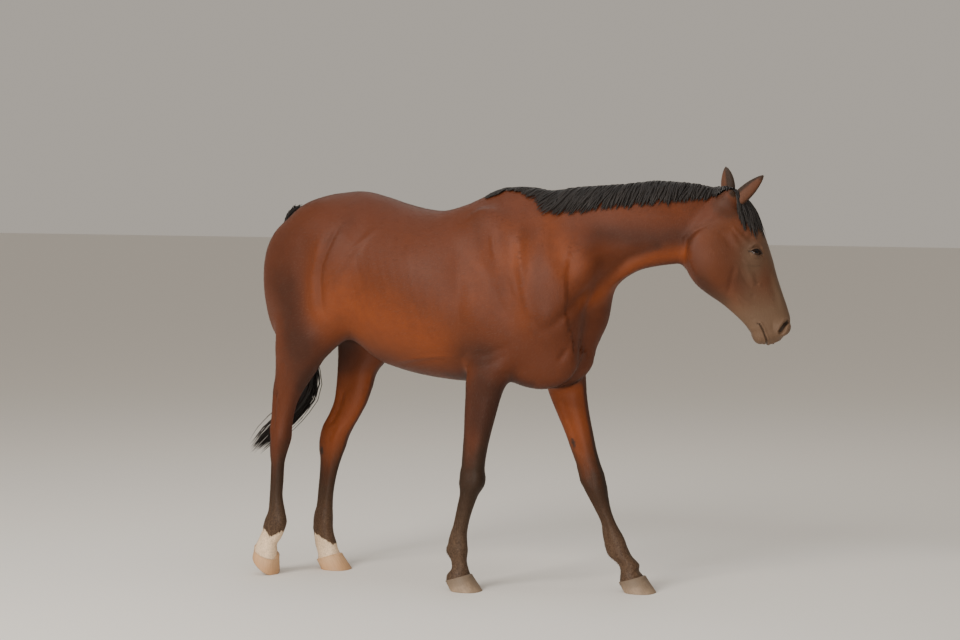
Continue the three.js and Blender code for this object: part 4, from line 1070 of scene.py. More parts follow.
# The coat's colour from the marks stored on the skin and on the roots of the tufts; the warm and dark tones
# carry painted highlights and painted shade as well as the coat's own colour.
def coatColour(start, fleck):
    black, white, grey = start.channels("marks")
    warm, dark, bare = start.channels("tones")
    where = start.place()
    broad = start.noise(where, 5, 3)
    patch = start.noise(where, 24, 4, 0.6)
    edge = start.noise(start.place((95, 95, 22)), 1, 3, 0.6)
    grain = start.noise(where, 170, 3, 0.6)
    dusty = where.parts()[2].between(0.44, 0.12) * (edge * 0.3 + grain * 0.7).between(0.25, 0.8) * 0.6
    warmth = (warm + (broad - 0.5) * 0.5 + (patch - 0.5) * 0.5).between(-0.1, 1.15)
    colour = start.blend(coatColours["bay"], coatColours["warm"], warmth)
    for title, share in (
        ("dark", (dark + (broad - 0.5) * 0.3 + (patch - 0.5) * 0.45).between(0.0, 1.1)),
        ("grey", (grey + (patch - 0.5) * 0.4 * grey).between(0, 0.95)),
        ("blackPoints", (black + (patch - 0.5) * 0.5 * black).between(0.08, 0.95) * 0.95),
        ("white", (white + (edge - 0.5) * 0.75).between(0.42, 0.58)),
        ("dust", dusty),
        ("skin", bare),
        ("tips", fleck),
    ):
        colour = colour.mix(coatColours[title], share)
    return colour


def coatMaterial():
    start, finish = newMaterial("bayCoat")
    long = start.noise(start.place((60, 420, 420)), 1)
    down = start.noise(start.place((420, 420, 60)), 1)
    lie = start.channels("flowDown")[0]
    hair = long * (1 - lie) + down * lie
    colour = coatColour(start, (hair - 0.5).between(0.08, 0.4) * 0.10)
    rough = 0.4 + start.noise(start.place(), 9, 3) * 0.14 + hair * 0.08
    bump = start.bump(hair, 0.5, 0.0016)
    finish(Base_Color=colour, Roughness=rough, Normal=bump, Specular_IOR_Level=0.17)
    return finish(Sheen_Weight=0.03, Sheen_Roughness=0.45, Sheen_Tint=(1, 0.78, 0.66, 1))


# Patches of colour as [share, width, path], the path as in the relief.
# Painted shade on the haunch, in the flank's crease, behind the shoulder blade, in front of the shoulder, at
# the chest, behind the elbow, down the forearm's top and under the belly at the thighs.
paintedShadePatches = [
    [0.35, 45, 320, 1480, 340, 1400], [0.45, 90, -500, 1180, -480, 1000],
    [0.25, 60, 600, 1200, 600, 1080], [0.4, 110, -430, 1400, -470, 1250, -470, 1120],
    [0.35, 80, -560, 1400, -590, 1250], [0.35, 36, -245, 1470, -290, 1390, -330, 1270, -334, 1150],
    [0.5, 80, 700, 1120, 690, 980], [0.3, 80, 250, 960, 330, 940], [0.3, 70, 285, 1100, 290, 980],
    [0.7, 90, -420, 960, -450, 860], [0.6, 80, 390, 960, 350, 700],
]
# A warmer lower barrel, and painted highlights along the lit ridges of the shoulder, the flank and the
# thigh.
warmAndHighlightPatches = [
    [0.7, 150, -250, 1130, -60, 1040, 120, 985, 200, 970], [0.2, 90, 470, 1540, 480, 1440, 500, 1350],
    [0.3, 50, -345, 1350, -360, 1240, -352, 1120], [0.25, 80, 330, 1340, 350, 1180],
    [0.3, 80, 520, 1340, 560, 1120], [0.2, 70, -560, 1050, -560, 950],
]
# Painted shade under the crest, in the jugular groove and at the base of the neck.
neckPaintedShade = [
    [0.7, 52, 670, 1425, 560, 1415, 430, 1425, 330, 1435],
    [0.35, 16, 560, 1385, 446, 1338, 372, 1268, 274, 1188], [0.15, 80, 120, 1200, 170, 1100],
]
# Painted light at the base of the neck, along its top and along the ridge below the jugular groove.
neckPaintedLight = [
    [0.45, 80, 110, 1480, 170, 1400, 230, 1300], [0.15, 50, 200, 1530, 330, 1520, 480, 1520, 640, 1520],
    [0.75, 42, 650, 1360, 620, 1355, 553, 1340, 460, 1295, 378, 1232, 300, 1170],
]
# Painted highlight on the cheek's rear edge and upper cheek, and a warmer patch of coat below the cheek.
faceWarmAndHighlight = [
    [0.2, 30, 122, 125, 122, 219, 116, 289], [0.25, 70, 190, 250, 290, 250],
    [0.4, 38, 385, 215, 450, 185],
]
# Darker round the eye; painted shade under the jaw, in the middle of the cheek and below the facial crest.
faceDarkAndShade = [
    [1.0, 46, 240, 84, 275, 96], [0.85, 40, 120, 330, 230, 340, 340, 295, 390, 255],
    [0.2, 60, 150, 200, 210, 190], [0.35, 40, 330, 160, 400, 150],
]
# Greyer spots on the face as [share, place down the face and behind it, both radii].
greySpots = [[0.4, 262, 90, 80, 60], [0.15, 335, 120, 66, 50]]


# The marks [black, white, grey] and the tones [warm, dark, bare] at each point; dark and warm carry painted
# shade and painted highlights as well as the coat's own colour.
def markings(points, normals, ear):
    x, y, z = points.T
    u, v, w = face.local(points).T
    nu = neck.local(points)[:, 0]
    onHead = eased(40, 90, u) * eased(1100, 1190, x) * (z > 900)
    onNeck = eased(60, 140, nu) * (1 - onHead)
    trunk = (1 - onNeck) * (1 - onHead)
    rear, front = flanks(points, np.where(normals[:, 1] > 0, 1, -1))
    near = np.where(x[:, None] < 250, rear, front)
    flat, along = np.stack([u, w], 1), np.stack([nu, z], 1)
    which, share, _ = legPlace(points)
    low = (which >= 0) * eased(900, 800, z)
    fore, hind = low * (which < 2), low * (which >= 2)
    dark, warm = (
        ridges(near, a, 0) * trunk + ridges(along, b, 0) * onNeck + ridges(flat, c, 0) * onHead
        for a, b, c in ((paintedShadePatches, neckPaintedShade, faceDarkAndShade), (warmAndHighlightPatches, neckPaintedLight, faceWarmAndHighlight))
    )
    dark += 0.12 * eased(1420, 1570, z) * trunk + 0.12 * onHead
    # Painted shade on the surfaces that face down, under the belly and the neck.
    dark += 0.55 * eased(-0.4, -0.95, normals[:, 2]) * (z > 780) * (1 - onHead)
    height = z + 70 * eased(0.8, 0.2, np.abs(share))
    black = fore * 0.95 * eased(800, 460, height) + hind * 0.9 * eased(740, 380, height)
    # Painted light on the inner sides of the lower legs: they are left out of the darkening below, made
    # warmer and less black, most on the right hind (sunny).
    inner = low * eased(0.1, 0.5, -normals[:, 1] * np.where(y > 0, 1, -1))
    dark += (fore * 0.35 + low * 0.3 * eased(0.4, 1.0, np.abs(share)) + hind * 0.1) * (1 - inner)
    warm += 0.75 * inner
    sunny = (which == 2) * eased(150, 250, z) * eased(560, 440, z)
    black *= 1 - inner * (0.25 * eased(300, 600, z) + 0.45 * sunny)
    white = (which == 2) * eased(225, 165, z + 34 * bell(share - 0.35, 0.5))
    white += (which == 3) * eased(160, 100, z + 26 * np.clip(share, -1, 1))
    grey = 0.8 * eased(330, 560, u + 0.1 * w) + 0.5 * eased(70, 0, w) + 0.2
    for most, cu, cw, ru, rw in greySpots:
        grey += most * bell(np.hypot((u - cu) / ru, (w - cw) / rw), 1)
    grey *= onHead
    bare = 0.85 * onHead * (alongPath(flat, nostrilPath)[0] < 7) * (np.abs(v) > 10)
    spots = np.hypot((z - 590) / 24, (share + 0.35) / 0.16), np.hypot((z - 500) / 20, (share + 0.6) / 0.14)
    bare = np.maximum(bare, 0.9 * inner * eased(1.1, 0.7, np.where(fore > 0, *spots)))
    bare = np.maximum(bare, 0.55 * onHead * (u > 500) * bell(alongPath(flat, mouthPath)[0], 3))
    for name in ears:
        a, b, c = earPlace(name).local(points).T
        t = a / earShape["length"]
        edge = b * ears[name]["rim"] / np.maximum(curveThrough(earSections)(t)[0], 2)
        rim = np.maximum(eased(-0.1, 0.45, edge), eased(-0.75, -1, edge)) * eased(0.0, 0.12, t)
        mine = ear * (np.hypot(b, c) < 60)
        black = np.maximum(black * (1 - mine), mine * np.maximum(rim, eased(0.72, 1, t)))
        grey = grey * (1 - mine) + 0.35 * mine
        dark = dark * (1 - mine) + 0.3 * mine
        base = np.linalg.norm(face.local(points) - ears[name]["root"] - [-14, 0, 18], axis=1)
        black = np.maximum(black, 0.5 * eased(95, 50, base) * (1 - mine))
    poll = eased(70, 30, u) * eased(75, 40, np.abs(v)) * eased(70, 30, w) * (x > 1100) * (z > 1300)
    mane = onNeck * eased(0.7, 0.95, normals[:, 2]) * eased(1440, 1500, z)
    black = np.maximum(np.maximum(black, 0.9 * poll), mane)
    marks, tones = np.stack([black, white, grey], 1), np.stack([warm, dark, bare], 1)
    return np.clip(marks, 0, 1), np.clip(tones, 0, 1.2)


# The way the hair lies at each point.
def hairFlow(points, normals, ear):
    x, y, z = points.T
    u, v, w = face.local(points).T
    onHead = (eased(30, 110, u) * (x > 1180) * (z > 900))[:, None]
    onNeck = (eased(20, 200, neck.local(points)[:, 0]))[:, None] * (1 - onHead)
    low = eased(1000, 760, z)[:, None]
    cheek = eased(130, 260, w)[:, None] * eased(420, 250, u)[:, None]
    flow = np.tile(np.array([-1.0, 0, -0.35]), (len(points), 1))
    for share, way in (
        (onNeck, neck.axes[0] * -0.75 + [0, 0, -0.65]),
        (low, np.array([-0.15, 0, -1])),
        (onHead, face.axes[0] + face.axes[2] * (0.15 + 1.1 * cheek)),
    ):
        flow = flow * (1 - share) + way * share
    for name in ears:
        place = earPlace(name)
        a, b, c = place.local(points).T
        flow = np.where(((ear > 0.3) & (np.hypot(b, c) < 60))[:, None], place.axes[0], flow)
    swirl = np.sin(points @ np.array([0.021, 0.017, 0.013])) * 0.18
    flow += np.cross(normals, flow) * swirl[:, None]
    flow -= normals * (flow * normals).sum(1)[:, None]
    return unit(flow)


class Growth:  # a geometry tree with named inputs
    def __init__(self, name, inputs):
        self.group = bpy.data.node_groups.new(name, "GeometryNodeTree")
        face = self.group.interface
        face.new_socket("Geometry", in_out="OUTPUT", socket_type="NodeSocketGeometry")
        self.ids = {}
        inputs = {"Geometry": "Geometry", **inputs, "Patch": "Float", "Material": "Material"}
        for title, kind in inputs.items():
            made = face.new_socket(title, in_out="INPUT", socket_type="NodeSocket" + kind)
            self.ids[title] = made.identifier
        self.start = Wire(self.group).add("NodeGroupInput")
        self.add = self.start.add

    def given(self, title):
        return self.start.out(title)

    def stored(self, title, kind="FLOAT_VECTOR"):
        return self.add("GeometryNodeInputNamedAttribute", {"Name": title}, data_type=kind)

    def store(self, geometry, title, value, kind="FLOAT", domain="POINT"):
        inputs = {"Geometry": geometry, "Name": title, "Value": value}
        return self.add("GeometryNodeStoreNamedAttribute", inputs, data_type=kind, domain=domain)

    def randomly(self, low, high, seed):
        return self.add("FunctionNodeRandomValue", {2: low, 3: high, "Seed": seed}, 1, data_type="FLOAT")

    # Puts each lock or tuft on its patch of the unwrap, at its root's place.
    def finish(self, geometry, inPatch):
        inPatch = self.start.scaled(inPatch, self.given("Patch"))
        place = self.start.vector("ADD", self.stored("root"), inPatch)
        mapped = self.store(geometry, "OFBake", place, "FLOAT2", "CORNER")
        inputs = {"Geometry": mapped, "Material": self.given("Material")}
        dressed = self.add("GeometryNodeSetMaterial", inputs)
        end = self.group.nodes.new("NodeGroupOutput")
        self.group.links.new(dressed.socket, end.inputs[0])
        return self


# The tree's result as a plain mesh object.
def grown(name, mesh, growth, smooth=True, **values):
    source = objectOf(name, mesh)
    modifier = source.modifiers.new("grow", "NODES")
    modifier.node_group = growth.group
    for title, value in {"Patch": patchSize, **values}.items():
        modifier[growth.ids[title]] = value
    bpy.context.view_layer.update()
    result = bpy.data.meshes.new_from_object(source.evaluated_get(bpy.context.evaluated_depsgraph_get()))
    result.name = name
    bpy.data.objects.remove(source)
    result.polygons.foreach_set("use_smooth", np.full(len(result.polygons), smooth))
    return objectOf(name, result)


patchSize = 0.003


# Locks of hair: closed flat strands along the edges of a mesh that carries their width and root.
def lockGrowth():
    growth = Growth("hairLocks", {"Sides": "Int", "Flatness": "Float"})
    add, start = growth.add, growth.start
    curves = add("GeometryNodeMeshToCurve", {"Mesh": growth.given("Geometry")})
    inputs = {"Curve": curves, "Normal": growth.stored("outward")}
    curves = add("GeometryNodeSetCurveNormal", inputs, mode="FREE")
    curves = growth.store(curves, "along", add("GeometryNodeSplineParameter"))
    ring = add("GeometryNodeCurvePrimitiveCircle", {"Resolution": growth.given("Sides"), "Radius": 1.0})
    squash = start.combined(growth.given("Flatness"), 1.0, 1.0)
    ring = add("GeometryNodeTransform", {"Geometry": ring, "Scale": squash})
    ring = growth.store(ring, "across", add("GeometryNodeSplineParameter"))
    along, across, width = (growth.stored(title, "FLOAT") for title in ("along", "across", "width"))
    inputs = {"Curve": curves, "Profile Curve": ring, "Fill Caps": True, "Scale": width}
    return growth.finish(add("GeometryNodeCurveToMesh", inputs), start.combined(along, across))


# Locks from lines of points, each with its width, its outward direction, and one root and shade a line.
def growLocks(name, lines, outward, width, root, shade, growth, material, sides=5, flatness=0.34):
    count, steps = lines.shape[:2]
    mesh = bpy.data.meshes.new(name)
    mesh.vertices.add(count * steps)
    mesh.vertices.foreach_set("co", inPlace(lines).ravel().astype(np.float32))
    ids = np.arange(count * steps).reshape(count, steps)
    pairs = np.stack([ids[:, :-1], ids[:, 1:]], -1).reshape(-1, 2)
    mesh.edges.add(len(pairs))
    mesh.edges.foreach_set("vertices", pairs.astype(np.int32).ravel())
    store(mesh, "outward", outward, "FLOAT_VECTOR")
    store(mesh, "root", np.repeat(np.stack([*root, 0 * root[0]], 1), steps, 0), "FLOAT_VECTOR")
    store(mesh, "width", width / 1000)
    store(mesh, "shade", np.repeat(shade, steps))
    mesh.update()
    return grown(name, mesh, growth, Sides=sides, Flatness=flatness, Material=material)


hairColours = {"root": (0.005, 0.004, 0.004), "light": (0.024, 0.017, 0.013), "rough": 0.42}


def hairMaterial():
    start, finish = newMaterial("blackHair")
    shade, along, across = (start.attribute(title) for title in ("shade", "along", "across"))
    strand = start.noise(start.combined(across * 26, along * 1.5, shade * 40), 1, 3)
    share = shade * 0.45 + (strand - 0.5).between(-0.1, 0.35) * 0.45 + along * along * 0.25
    colour = start.blend(hairColours["root"], hairColours["light"], share)
    bump = start.bump(strand, 0.6, 0.0015)
    rough = hairColours["rough"] + strand * 0.15
    return finish(Base_Color=colour, Roughness=rough, Normal=bump, Specular_IOR_Level=0.3)


def reachSurface(field, origins, directions):  # where a fan of lines from inside leaves the body
    shape = len(origins), len(directions), 3
    origins = np.repeat(origins, len(directions), 0)
    directions = np.tile(directions, (shape[0], 1))
    near, far = np.full(len(origins), 20.0), np.full(len(origins), 20.0)
    inside = np.ones(len(origins), bool)
    while inside.any() and far.max() < 420:
        near[inside] = far[inside]
        far[inside] += 14
        inside[inside] = field.at(origins[inside] + directions[inside] * far[inside][:, None]) < 0
    for _ in range(7):
        middle = (near + far) / 2
        inside = field.at(origins + directions * middle[:, None]) < 0
        near, far = np.where(inside, middle, near), np.where(inside, far, middle)
    return (origins + directions * ((near + far) / 2)[:, None]).reshape(shape)


class Sheet:  # a patch of the body's surface, read by two coordinates
    def __init__(self, first, second, points, outward):
        self.axes, self.grids = (first, second), (points, outward)

    def read(self, *places):
        cells, shares = [], []
        for place, axis in zip(places, self.axes):
            at = np.clip((place - axis[0]) / (axis[1] - axis[0]), 0, len(axis) - 1.001)
            cells.append(at.astype(int))
            shares.append((at - cells[-1])[..., None])
        (i, j), (s, t) = cells, shares
        points, outward = (
            (grid[i, j] * (1 - s) + grid[i + 1, j] * s) * (1 - t)
            + (grid[i, j + 1] * (1 - s) + grid[i + 1, j + 1] * s) * t
            for grid in self.grids
        )
        return points, unit(outward)


def crestSheet(field):  # first: along the neck; second: millimetres over the right side from the crest
    along = np.arange(-170, 951, 20.0)
    angles = np.radians(np.arange(-34, 78, 2.0))
    v, w = curveThrough(loftRows(neckSections))(along)[:2]
    origins = neck.world(np.stack([along, v, w], 1))
    directions = np.cos(angles)[:, None] * np.array([0, 0, 1.0]) - np.sin(angles)[:, None] * neck.axes[1]
    points = reachSurface(field, origins, directions)
    lengths = np.linalg.norm(np.diff(points, axis=1), axis=2)
    arc = np.concatenate([np.zeros((len(along), 1)), np.cumsum(lengths, 1)], 1)
    zero = np.argmin(np.abs(angles + math.radians(2)))
    arc -= arc[:, zero : zero + 1]
    over = np.arange(-60, 171, 5.0)
    even = [[np.interp(over, arc[i], points[i, :, k]) for k in range(3)] for i in range(len(along))]
    even = np.swapaxes(np.array(even), 1, 2)
    slopeA, slopeB = np.gradient(even, axis=0), np.gradient(even, axis=1)
    outward = unit(np.cross(slopeB, slopeA))
    outward *= np.sign((outward * (even - origins[:, None])).sum(-1, keepdims=True))
    return Sheet(along, over, even, outward)


def foreheadSheet(field):  # first: down the face; second: angle round the forehead
    along = np.arange(-40, 211, 10.0)
    angles = np.radians(np.arange(-84, 41, 4.0))
    origins = face.world(np.stack([along, 0 * along, 0 * along + 110], 1))
    directions = np.sin(angles)[:, None] * face.axes[1] - np.cos(angles)[:, None] * face.axes[2]
    points = reachSurface(field, origins, directions)
    return Sheet(along, angles, points, np.broadcast_to(directions, points.shape))


# The widths along each lock: a swell, and a thin tip.
def lockWidths(look, k, least, swell, rate, phase):
    size = random.uniform(*look["width"], look["locks"])[:, None]
    return size * (least + swell * np.sin(k * rate + phase)) * np.where(k > 0.97, look["tip"], 1)


mane = {
    "locks": 1300, "steps": 8, "width": (2.4, 5.2), "tip": 0.12, "length": 1.12, "lean": -0.3, "lift": 0.6,
    "leftward": 0.16, "start": (-108, 905),
}


def makeMane(field, growth, material):
    n = mane["locks"]
    u0 = np.sort(random.uniform(*mane["start"], n))
    hang, thick = curveThrough(maneSections)(np.minimum(u0, 780))
    clump = 0.5 + 0.5 * np.sin(u0 / 13 + 2.4 * np.sin(u0 / 37))
    length = hang * mane["length"] * (0.94 + 0.06 * clump) * random.uniform(0.62, 1.14, n)
    long, short = 1 + 0.25 * eased(520, 320, u0), 0.4 + 0.6 * eased(60, 290, u0)
    length *= long * short * (1 + 0.45 * eased(740, 820, u0))
    start = random.uniform(-12, 8, n)
    leftward = random.random(n) < mane["leftward"]
    layer = random.random(n)
    k = np.linspace(0, 1, mane["steps"])[None]
    lean = mane["lean"] + random.normal(0, 0.12, n) + 0.06 * np.sin(u0 / 23)
    lean = lean - 0.55 * eased(560, 250, u0) + 0.45 * eased(760, 850, u0)
    over = start[:, None] + k * length[:, None] * np.where(leftward, -0.35, 1)[:, None]
    sway = 5 * np.sin(k * 3 + random.uniform(0, 6, n)[:, None]) * k
    back = u0[:, None] + lean[:, None] * k * length[:, None] - 26 * (u0 < -30)[:, None] * k + sway
    points, outward = crestSheet(field).read(back, over)
    height = thick * mane["lift"] * (0.35 + 0.65 * layer)
    rise = 2 + height[:, None] * (0.25 + 0.75 * np.sin(k * 2.3 + 0.35))
    points = points + outward * rise[..., None]
    points += random.normal(0, 0.5, points.shape)
    size = lockWidths(mane, k, 0.55, 0.75, 2.4, 0.5)
    root = (u0 + 110) / 1020 * 0.985 + 0.004, (start + 14) / 26 * 0.97 + 0.01
    return growLocks("maneHair", points, outward, size, root, random.random(n) * 0.6, growth, material)


forelock = {
    "locks": 330, "steps": 9, "width": (2.2, 4.6), "tip": 0.12, "middle": -26, "spread": 38, "poll": 0.3,
    "length": (85, 180),
}


def makeForelock(field, growth, material):
    n = forelock["locks"]
    k = np.linspace(0, 1, forelock["steps"])[None]
    angle = np.radians(random.uniform(-1, 1, n) * forelock["spread"] + forelock["middle"])
    poll = random.random(n) < forelock["poll"]
    u0 = np.where(poll, random.uniform(-32, -8, n), random.uniform(-14, 42, n))
    angle = np.where(poll, angle * 0.8, angle)
    aside = np.abs(np.degrees(angle) - forelock["middle"]) / forelock["spread"]
    length = random.uniform(*forelock["length"], n) * (1 - 0.3 * aside**1.5) * np.where(poll, 0.8, 1)
    along = u0[:, None] + k * length[:, None]
    turn = angle[:, None] * (1 + 0.05 * k) - 0.26 * k
    turn += 0.05 * np.sin(3 * k + random.uniform(0, 6, n)[:, None]) * k
    points, outward = foreheadSheet(field).read(along, turn)
    thick = curveThrough(forelockSections)(np.maximum(along, -6))[1]
    rise = 1.5 + thick * 0.62 * (0.3 + 0.7 * random.random(n))[:, None] * np.sin(k * 2.6 + 0.2)
    points = points + outward * rise[..., None]
    size = lockWidths(forelock, k, 0.6, 0.6, 2.4, 0.5)
    root = (np.degrees(angle) + 66) / 80 * 0.97 + 0.01, (u0 + 34) / 78 * 0.97 + 0.01
    return growLocks("forelockHair", points, outward, size, root, random.random(n) * 0.6, growth, material)


tail = {"locks": 460, "steps": 17, "width": (2.0, 4.4), "tip": 0.1, "dock": 0.36, "loose": 0.24}


def makeTail(growth, material):
    rows = np.array(tailSections, float)
    lengths = np.concatenate([[0], np.cumsum(np.linalg.norm(np.diff(rows[:, :3], axis=0), axis=1))])
    at = curveThrough(np.column_stack([lengths / lengths[-1], rows]))
    n = tail["locks"]
    start = random.uniform(0, 1, n) ** 1.3 * tail["dock"]
    end = 1 - random.uniform(0, 1, n) ** 1.2 * 0.5
    k = np.linspace(0, 1, tail["steps"])[None]
    t = start[:, None] + (end - start)[:, None] * k
    *centre, half, depth = at(t)
    centre = np.stack(centre, -1)
    later, earlier = (np.stack(at(np.clip(t + step, 0, 1))[:3], -1) for step in (0.01, -0.01))
    ahead = unit(later - earlier)
    across = unit(np.array([0, 1.0, 0]) - ahead * ahead[..., 1:2])
    back = np.cross(ahead, across)
    loose = np.where(random.random(n) < tail["loose"], random.uniform(1.3, 2.8, n), 1)[:, None]
    angle = random.uniform(0, 2 * math.pi, n)[:, None] + 0.9 * (k - 0.5) * random.normal(0, 0.6, n)[:, None]
    ring = np.sqrt(random.uniform(0.1, 1, n))[:, None]
    close = 0.62 + 0.2 * eased(0, 0.4, t) - 0.25 * eased(0.7, 1, t) * random.random(n)[:, None]
    spread = ring * close * (1 + (loose - 1) * eased(0.35, 1, t) + 0.7 * eased(0.72, 1, t))
    spread += 0.2 * (0.4 + k) * np.sin(5 * k + random.uniform(0, 6, n)[:, None])
    a, b = np.cos(angle) * spread, np.sin(angle) * spread
    points = centre + across * (a * half * 0.95)[..., None] + back * (b * depth * 0.95)[..., None]
    outward = unit(across * a[..., None] + back * b[..., None] + 1e-6)
    size = lockWidths(tail, k, 0.7, 0.5, 2.6, 0.4)
    turn = (angle[:, 0] % (2 * math.pi)) / (2 * math.pi)
    root = start / tail["dock"] * 0.985 + 0.004, turn * 0.985 + 0.004
    return growLocks("tailHair", points, outward, size, root, random.random(n) * 0.6, growth, material)


eyeball = {
    "radius": 22.6, "iris": 15.5, "pupil": (8.6, 5.0), "bulge": 0.9, "colour": (0.022, 0.010, 0.005),
    "rays": (0.060, 0.026, 0.011), "dark": (0.003, 0.003, 0.004), "edge": (0.035, 0.02, 0.014),
}


def makeEye(name, side, material):
    place = eyePlaceOf(side)
    polar = np.radians(np.concatenate([np.arange(3, 60, 3.0), np.arange(62, 177, 9.0)]))[:, None]
    around = np.radians(np.arange(0, 360, 8.0))
    radius = eyeball["radius"] + eyeball["bulge"] * np.maximum(1 - (polar / math.radians(42)) ** 2, 0)
    flat, high = radius * np.sin(polar), radius * np.cos(polar) + 0 * around
    skin = closedOver(place.world(np.stack([flat * np.cos(around), flat * np.sin(around), high], -1)))
    made = smoothPiece(name, skin, material)
    store(made.data, "eyeAt", place.local(skin.points), "FLOAT_VECTOR")
    return made


def eyeMaterial():
    start, finish = newMaterial("eye")
    a, b, _ = start.attribute("eyeAt", 1).parts()
    wide, high = eyeball["pupil"]
    away = a * a + b * b
    pupil = (a * a * wide**-2 + b * b * high**-2).between(1.25, 0.85)
    rays = start.noise(start.combined(start.maths("ARCTAN2", a, b) * 9, away * 0.01), 1, 3)
    iris = start.blend(eyeball["colour"], eyeball["rays"], rays.between(0.3, 0.75))
    white = away.between(eyeball["iris"] ** 2 * 0.88, eyeball["iris"] ** 2 * 1.1)
    colour = iris.mix(eyeball["dark"], pupil).mix(eyeball["edge"], white)
    finish(Base_Color=colour, Roughness=0.12 + white * 0.1, Specular_IOR_Level=0.2)
    return finish(Coat_Weight=0.22, Coat_Roughness=0.05)


lashes = {
    "count": 66, "length": 17, "width": 0.75, "steps": 6, "fan": (-0.28, 0.95), "down": (0, -0.55, -0.15),
}


def makeLashes(growth, material):
    rows = []
    n = lashes["count"]
    k = np.linspace(0, 1, lashes["steps"])[:, None]
    for side in (-1, 1):
        place = eyePlaceOf(side)
        a = np.linspace(-19, 20, n) + random.uniform(-0.6, 0.6, n)
        b = lidEdges(a)[0]
        c = np.sqrt((eyes["radius"] + eyes["cover"] - 0.6) ** 2 - a * a - b * b)
        start = np.stack([a, b + 0.6, c - 0.4], 1)[:, None]
        reach = lashes["length"] * random.uniform(0.6, 1.1, n) * (1 - (np.abs(a) / 34) ** 2)
        out, up = lashes["fan"]
        fan = np.stack([a / 30 + random.normal(0, 0.1, n), out + 0 * a, up + 0 * a], 1)[:, None]
        path = place.world(start + reach[:, None, None] * (fan * k + np.array(lashes["down"]) * k**2))
        size = np.broadcast_to(lashes["width"] * (1.05 - 0.95 * k[:, 0]), path.shape[:2])
        root = np.stack([(a + 20) / 42, np.full(n, 0.25 + 0.5 * (side > 0))])
        rows.append((path, np.broadcast_to(place.axes[1], path.shape), size, root))
    lines, outward, size = (np.concatenate([row[i] for row in rows]) for i in range(3))
    root = np.concatenate([row[3] for row in rows], 1)
    return growLocks("lashes", lines, outward, size, root, np.zeros(2 * n), growth, material, 3, 1.0)


def makeHoof(name, leg, material):
    toe, heel = coronetEnds()
    wall = hoofSize["wall"]
    angle = np.arange(hoofSize["sides"]) / hoofSize["sides"] * 2 * math.pi
    cx, cy = (np.sign(x) * np.abs(x) ** 0.86 for x in (np.cos(angle), np.sin(angle)))

    def ring(t, scale, lift=0):
        front, back = toe * t, np.array([-hoofSize["length"], 0]) * (1 - t) + heel * t
        half = hoofSize["halfWidth"] + (hoofSize["coronetHalf"] - hoofSize["halfWidth"]) * t
        cleft = 1 - 0.10 * bell(angle - math.pi, 0.22) * (1 - t)
        share = 1 - (1 - (1 + cx * scale) / 2) * cleft
        x, z = (back[i] + (front[i] - back[i]) * share for i in (0, 1))
        return np.stack([x, half * cy * scale, z + lift], 1)

    rings, grain = [], []
    for scale, lift in ((0.12, 9), (0.35, 8), (0.6, 6), (wall - 0.04, 4), (wall, 0.4), (0.96, 0)):
        sole = ring(0, scale)
        behind = -sole[:, 0] - 45
        frog = (behind > 0) & (np.abs(sole[:, 1]) < 4 + 20 * np.clip(behind / 80, 0, 1)) & (scale < wall)
        sole[:, 2] = np.where(frog, max(lift - 6, 0.5), lift)
        rings.append(sole)
        grain.append(-1)
    for t in np.linspace(0, 1, hoofSize["rings"]) ** 0.9:
        wave = math.sin(26 * t + 1.1 * math.sin(9 * t)) * hoofSize["growth"] * (1 - t)
        lip = 0.022 * math.exp(-(((t - 0.93) / 0.05) ** 2))
        edge = -0.02 * math.exp(-t / 0.015) - 0.03 * max(t - 0.97, 0) / 0.03
        rings.append(ring(t, 0.985 + wave + lip + edge))
        grain.append(t)
    rings += [ring(1, 0.88, 1.2), ring(1, 0.6, 0.5)]
    grain += [1.05, 1.05]
    skin = closedOver(hoofPlace(leg).world(np.array(rings)))
    skin.points[:, 2] = np.maximum(skin.points[:, 2], 0)
    made = smoothPiece(name, skin, material)
    grain = np.concatenate([np.repeat(grain, len(angle)), [-1, 1.05]])
    turn = np.concatenate([np.tile(angle, len(rings)), [0, 0]])
    store(made.data, "grain", np.stack([grain, np.cos(turn), np.sin(turn)], 1), "FLOAT_VECTOR")
    return made


# Colours of the horn as [at the ground, at the coronet, in the streaks].
hornColours = {
    "greyHorn": [(0.27, 0.19, 0.125), (0.17, 0.12, 0.08), (0.12, 0.085, 0.06)],
    "paleHorn": [(0.52, 0.29, 0.14), (0.60, 0.37, 0.20), (0.32, 0.17, 0.08)],
}
hornDust = (0.42, 0.30, 0.20)


def hornMaterial(name):
    low, high, streak = hornColours[name]
    start, finish = newMaterial(name)
    t, c, s = start.attribute("grain", 1).parts()
    streaks = start.noise(start.combined(c * 9, s * 9, t * 0.7), 2, 4, 0.6)
    rings = start.noise(start.combined(t * 14, c * 0.6, s * 0.6), 1, 3)
    dust = start.noise(start.place(), 30, 4, 0.6)
    colour = start.blend(low, high, t.between(0, 0.9))
    colour = colour.mix(streak, (streaks - 0.5).between(-0.12, 0.3) * 0.55)
    colour = colour.mix(hornDust, (dust + (0.3 - t) * 0.3).between(0.42, 0.8) * 0.5)
    bump = start.bump(streaks * 0.4 + rings, 0.5, 0.002)
    return finish(Base_Color=colour, Roughness=0.5 + dust * 0.25, Normal=bump, Specular_IOR_Level=0.35)


# A tuft's shape in shares of its length, and how it turns, lifts and varies.
tuft = {
    "arch": 0.035, "sunk": 0.022, "thin": 0.016, "wide": 0.075, "lift": (-0.07, 0.0), "turn": 0.22,
    "size": (0.65, 1.25),
}


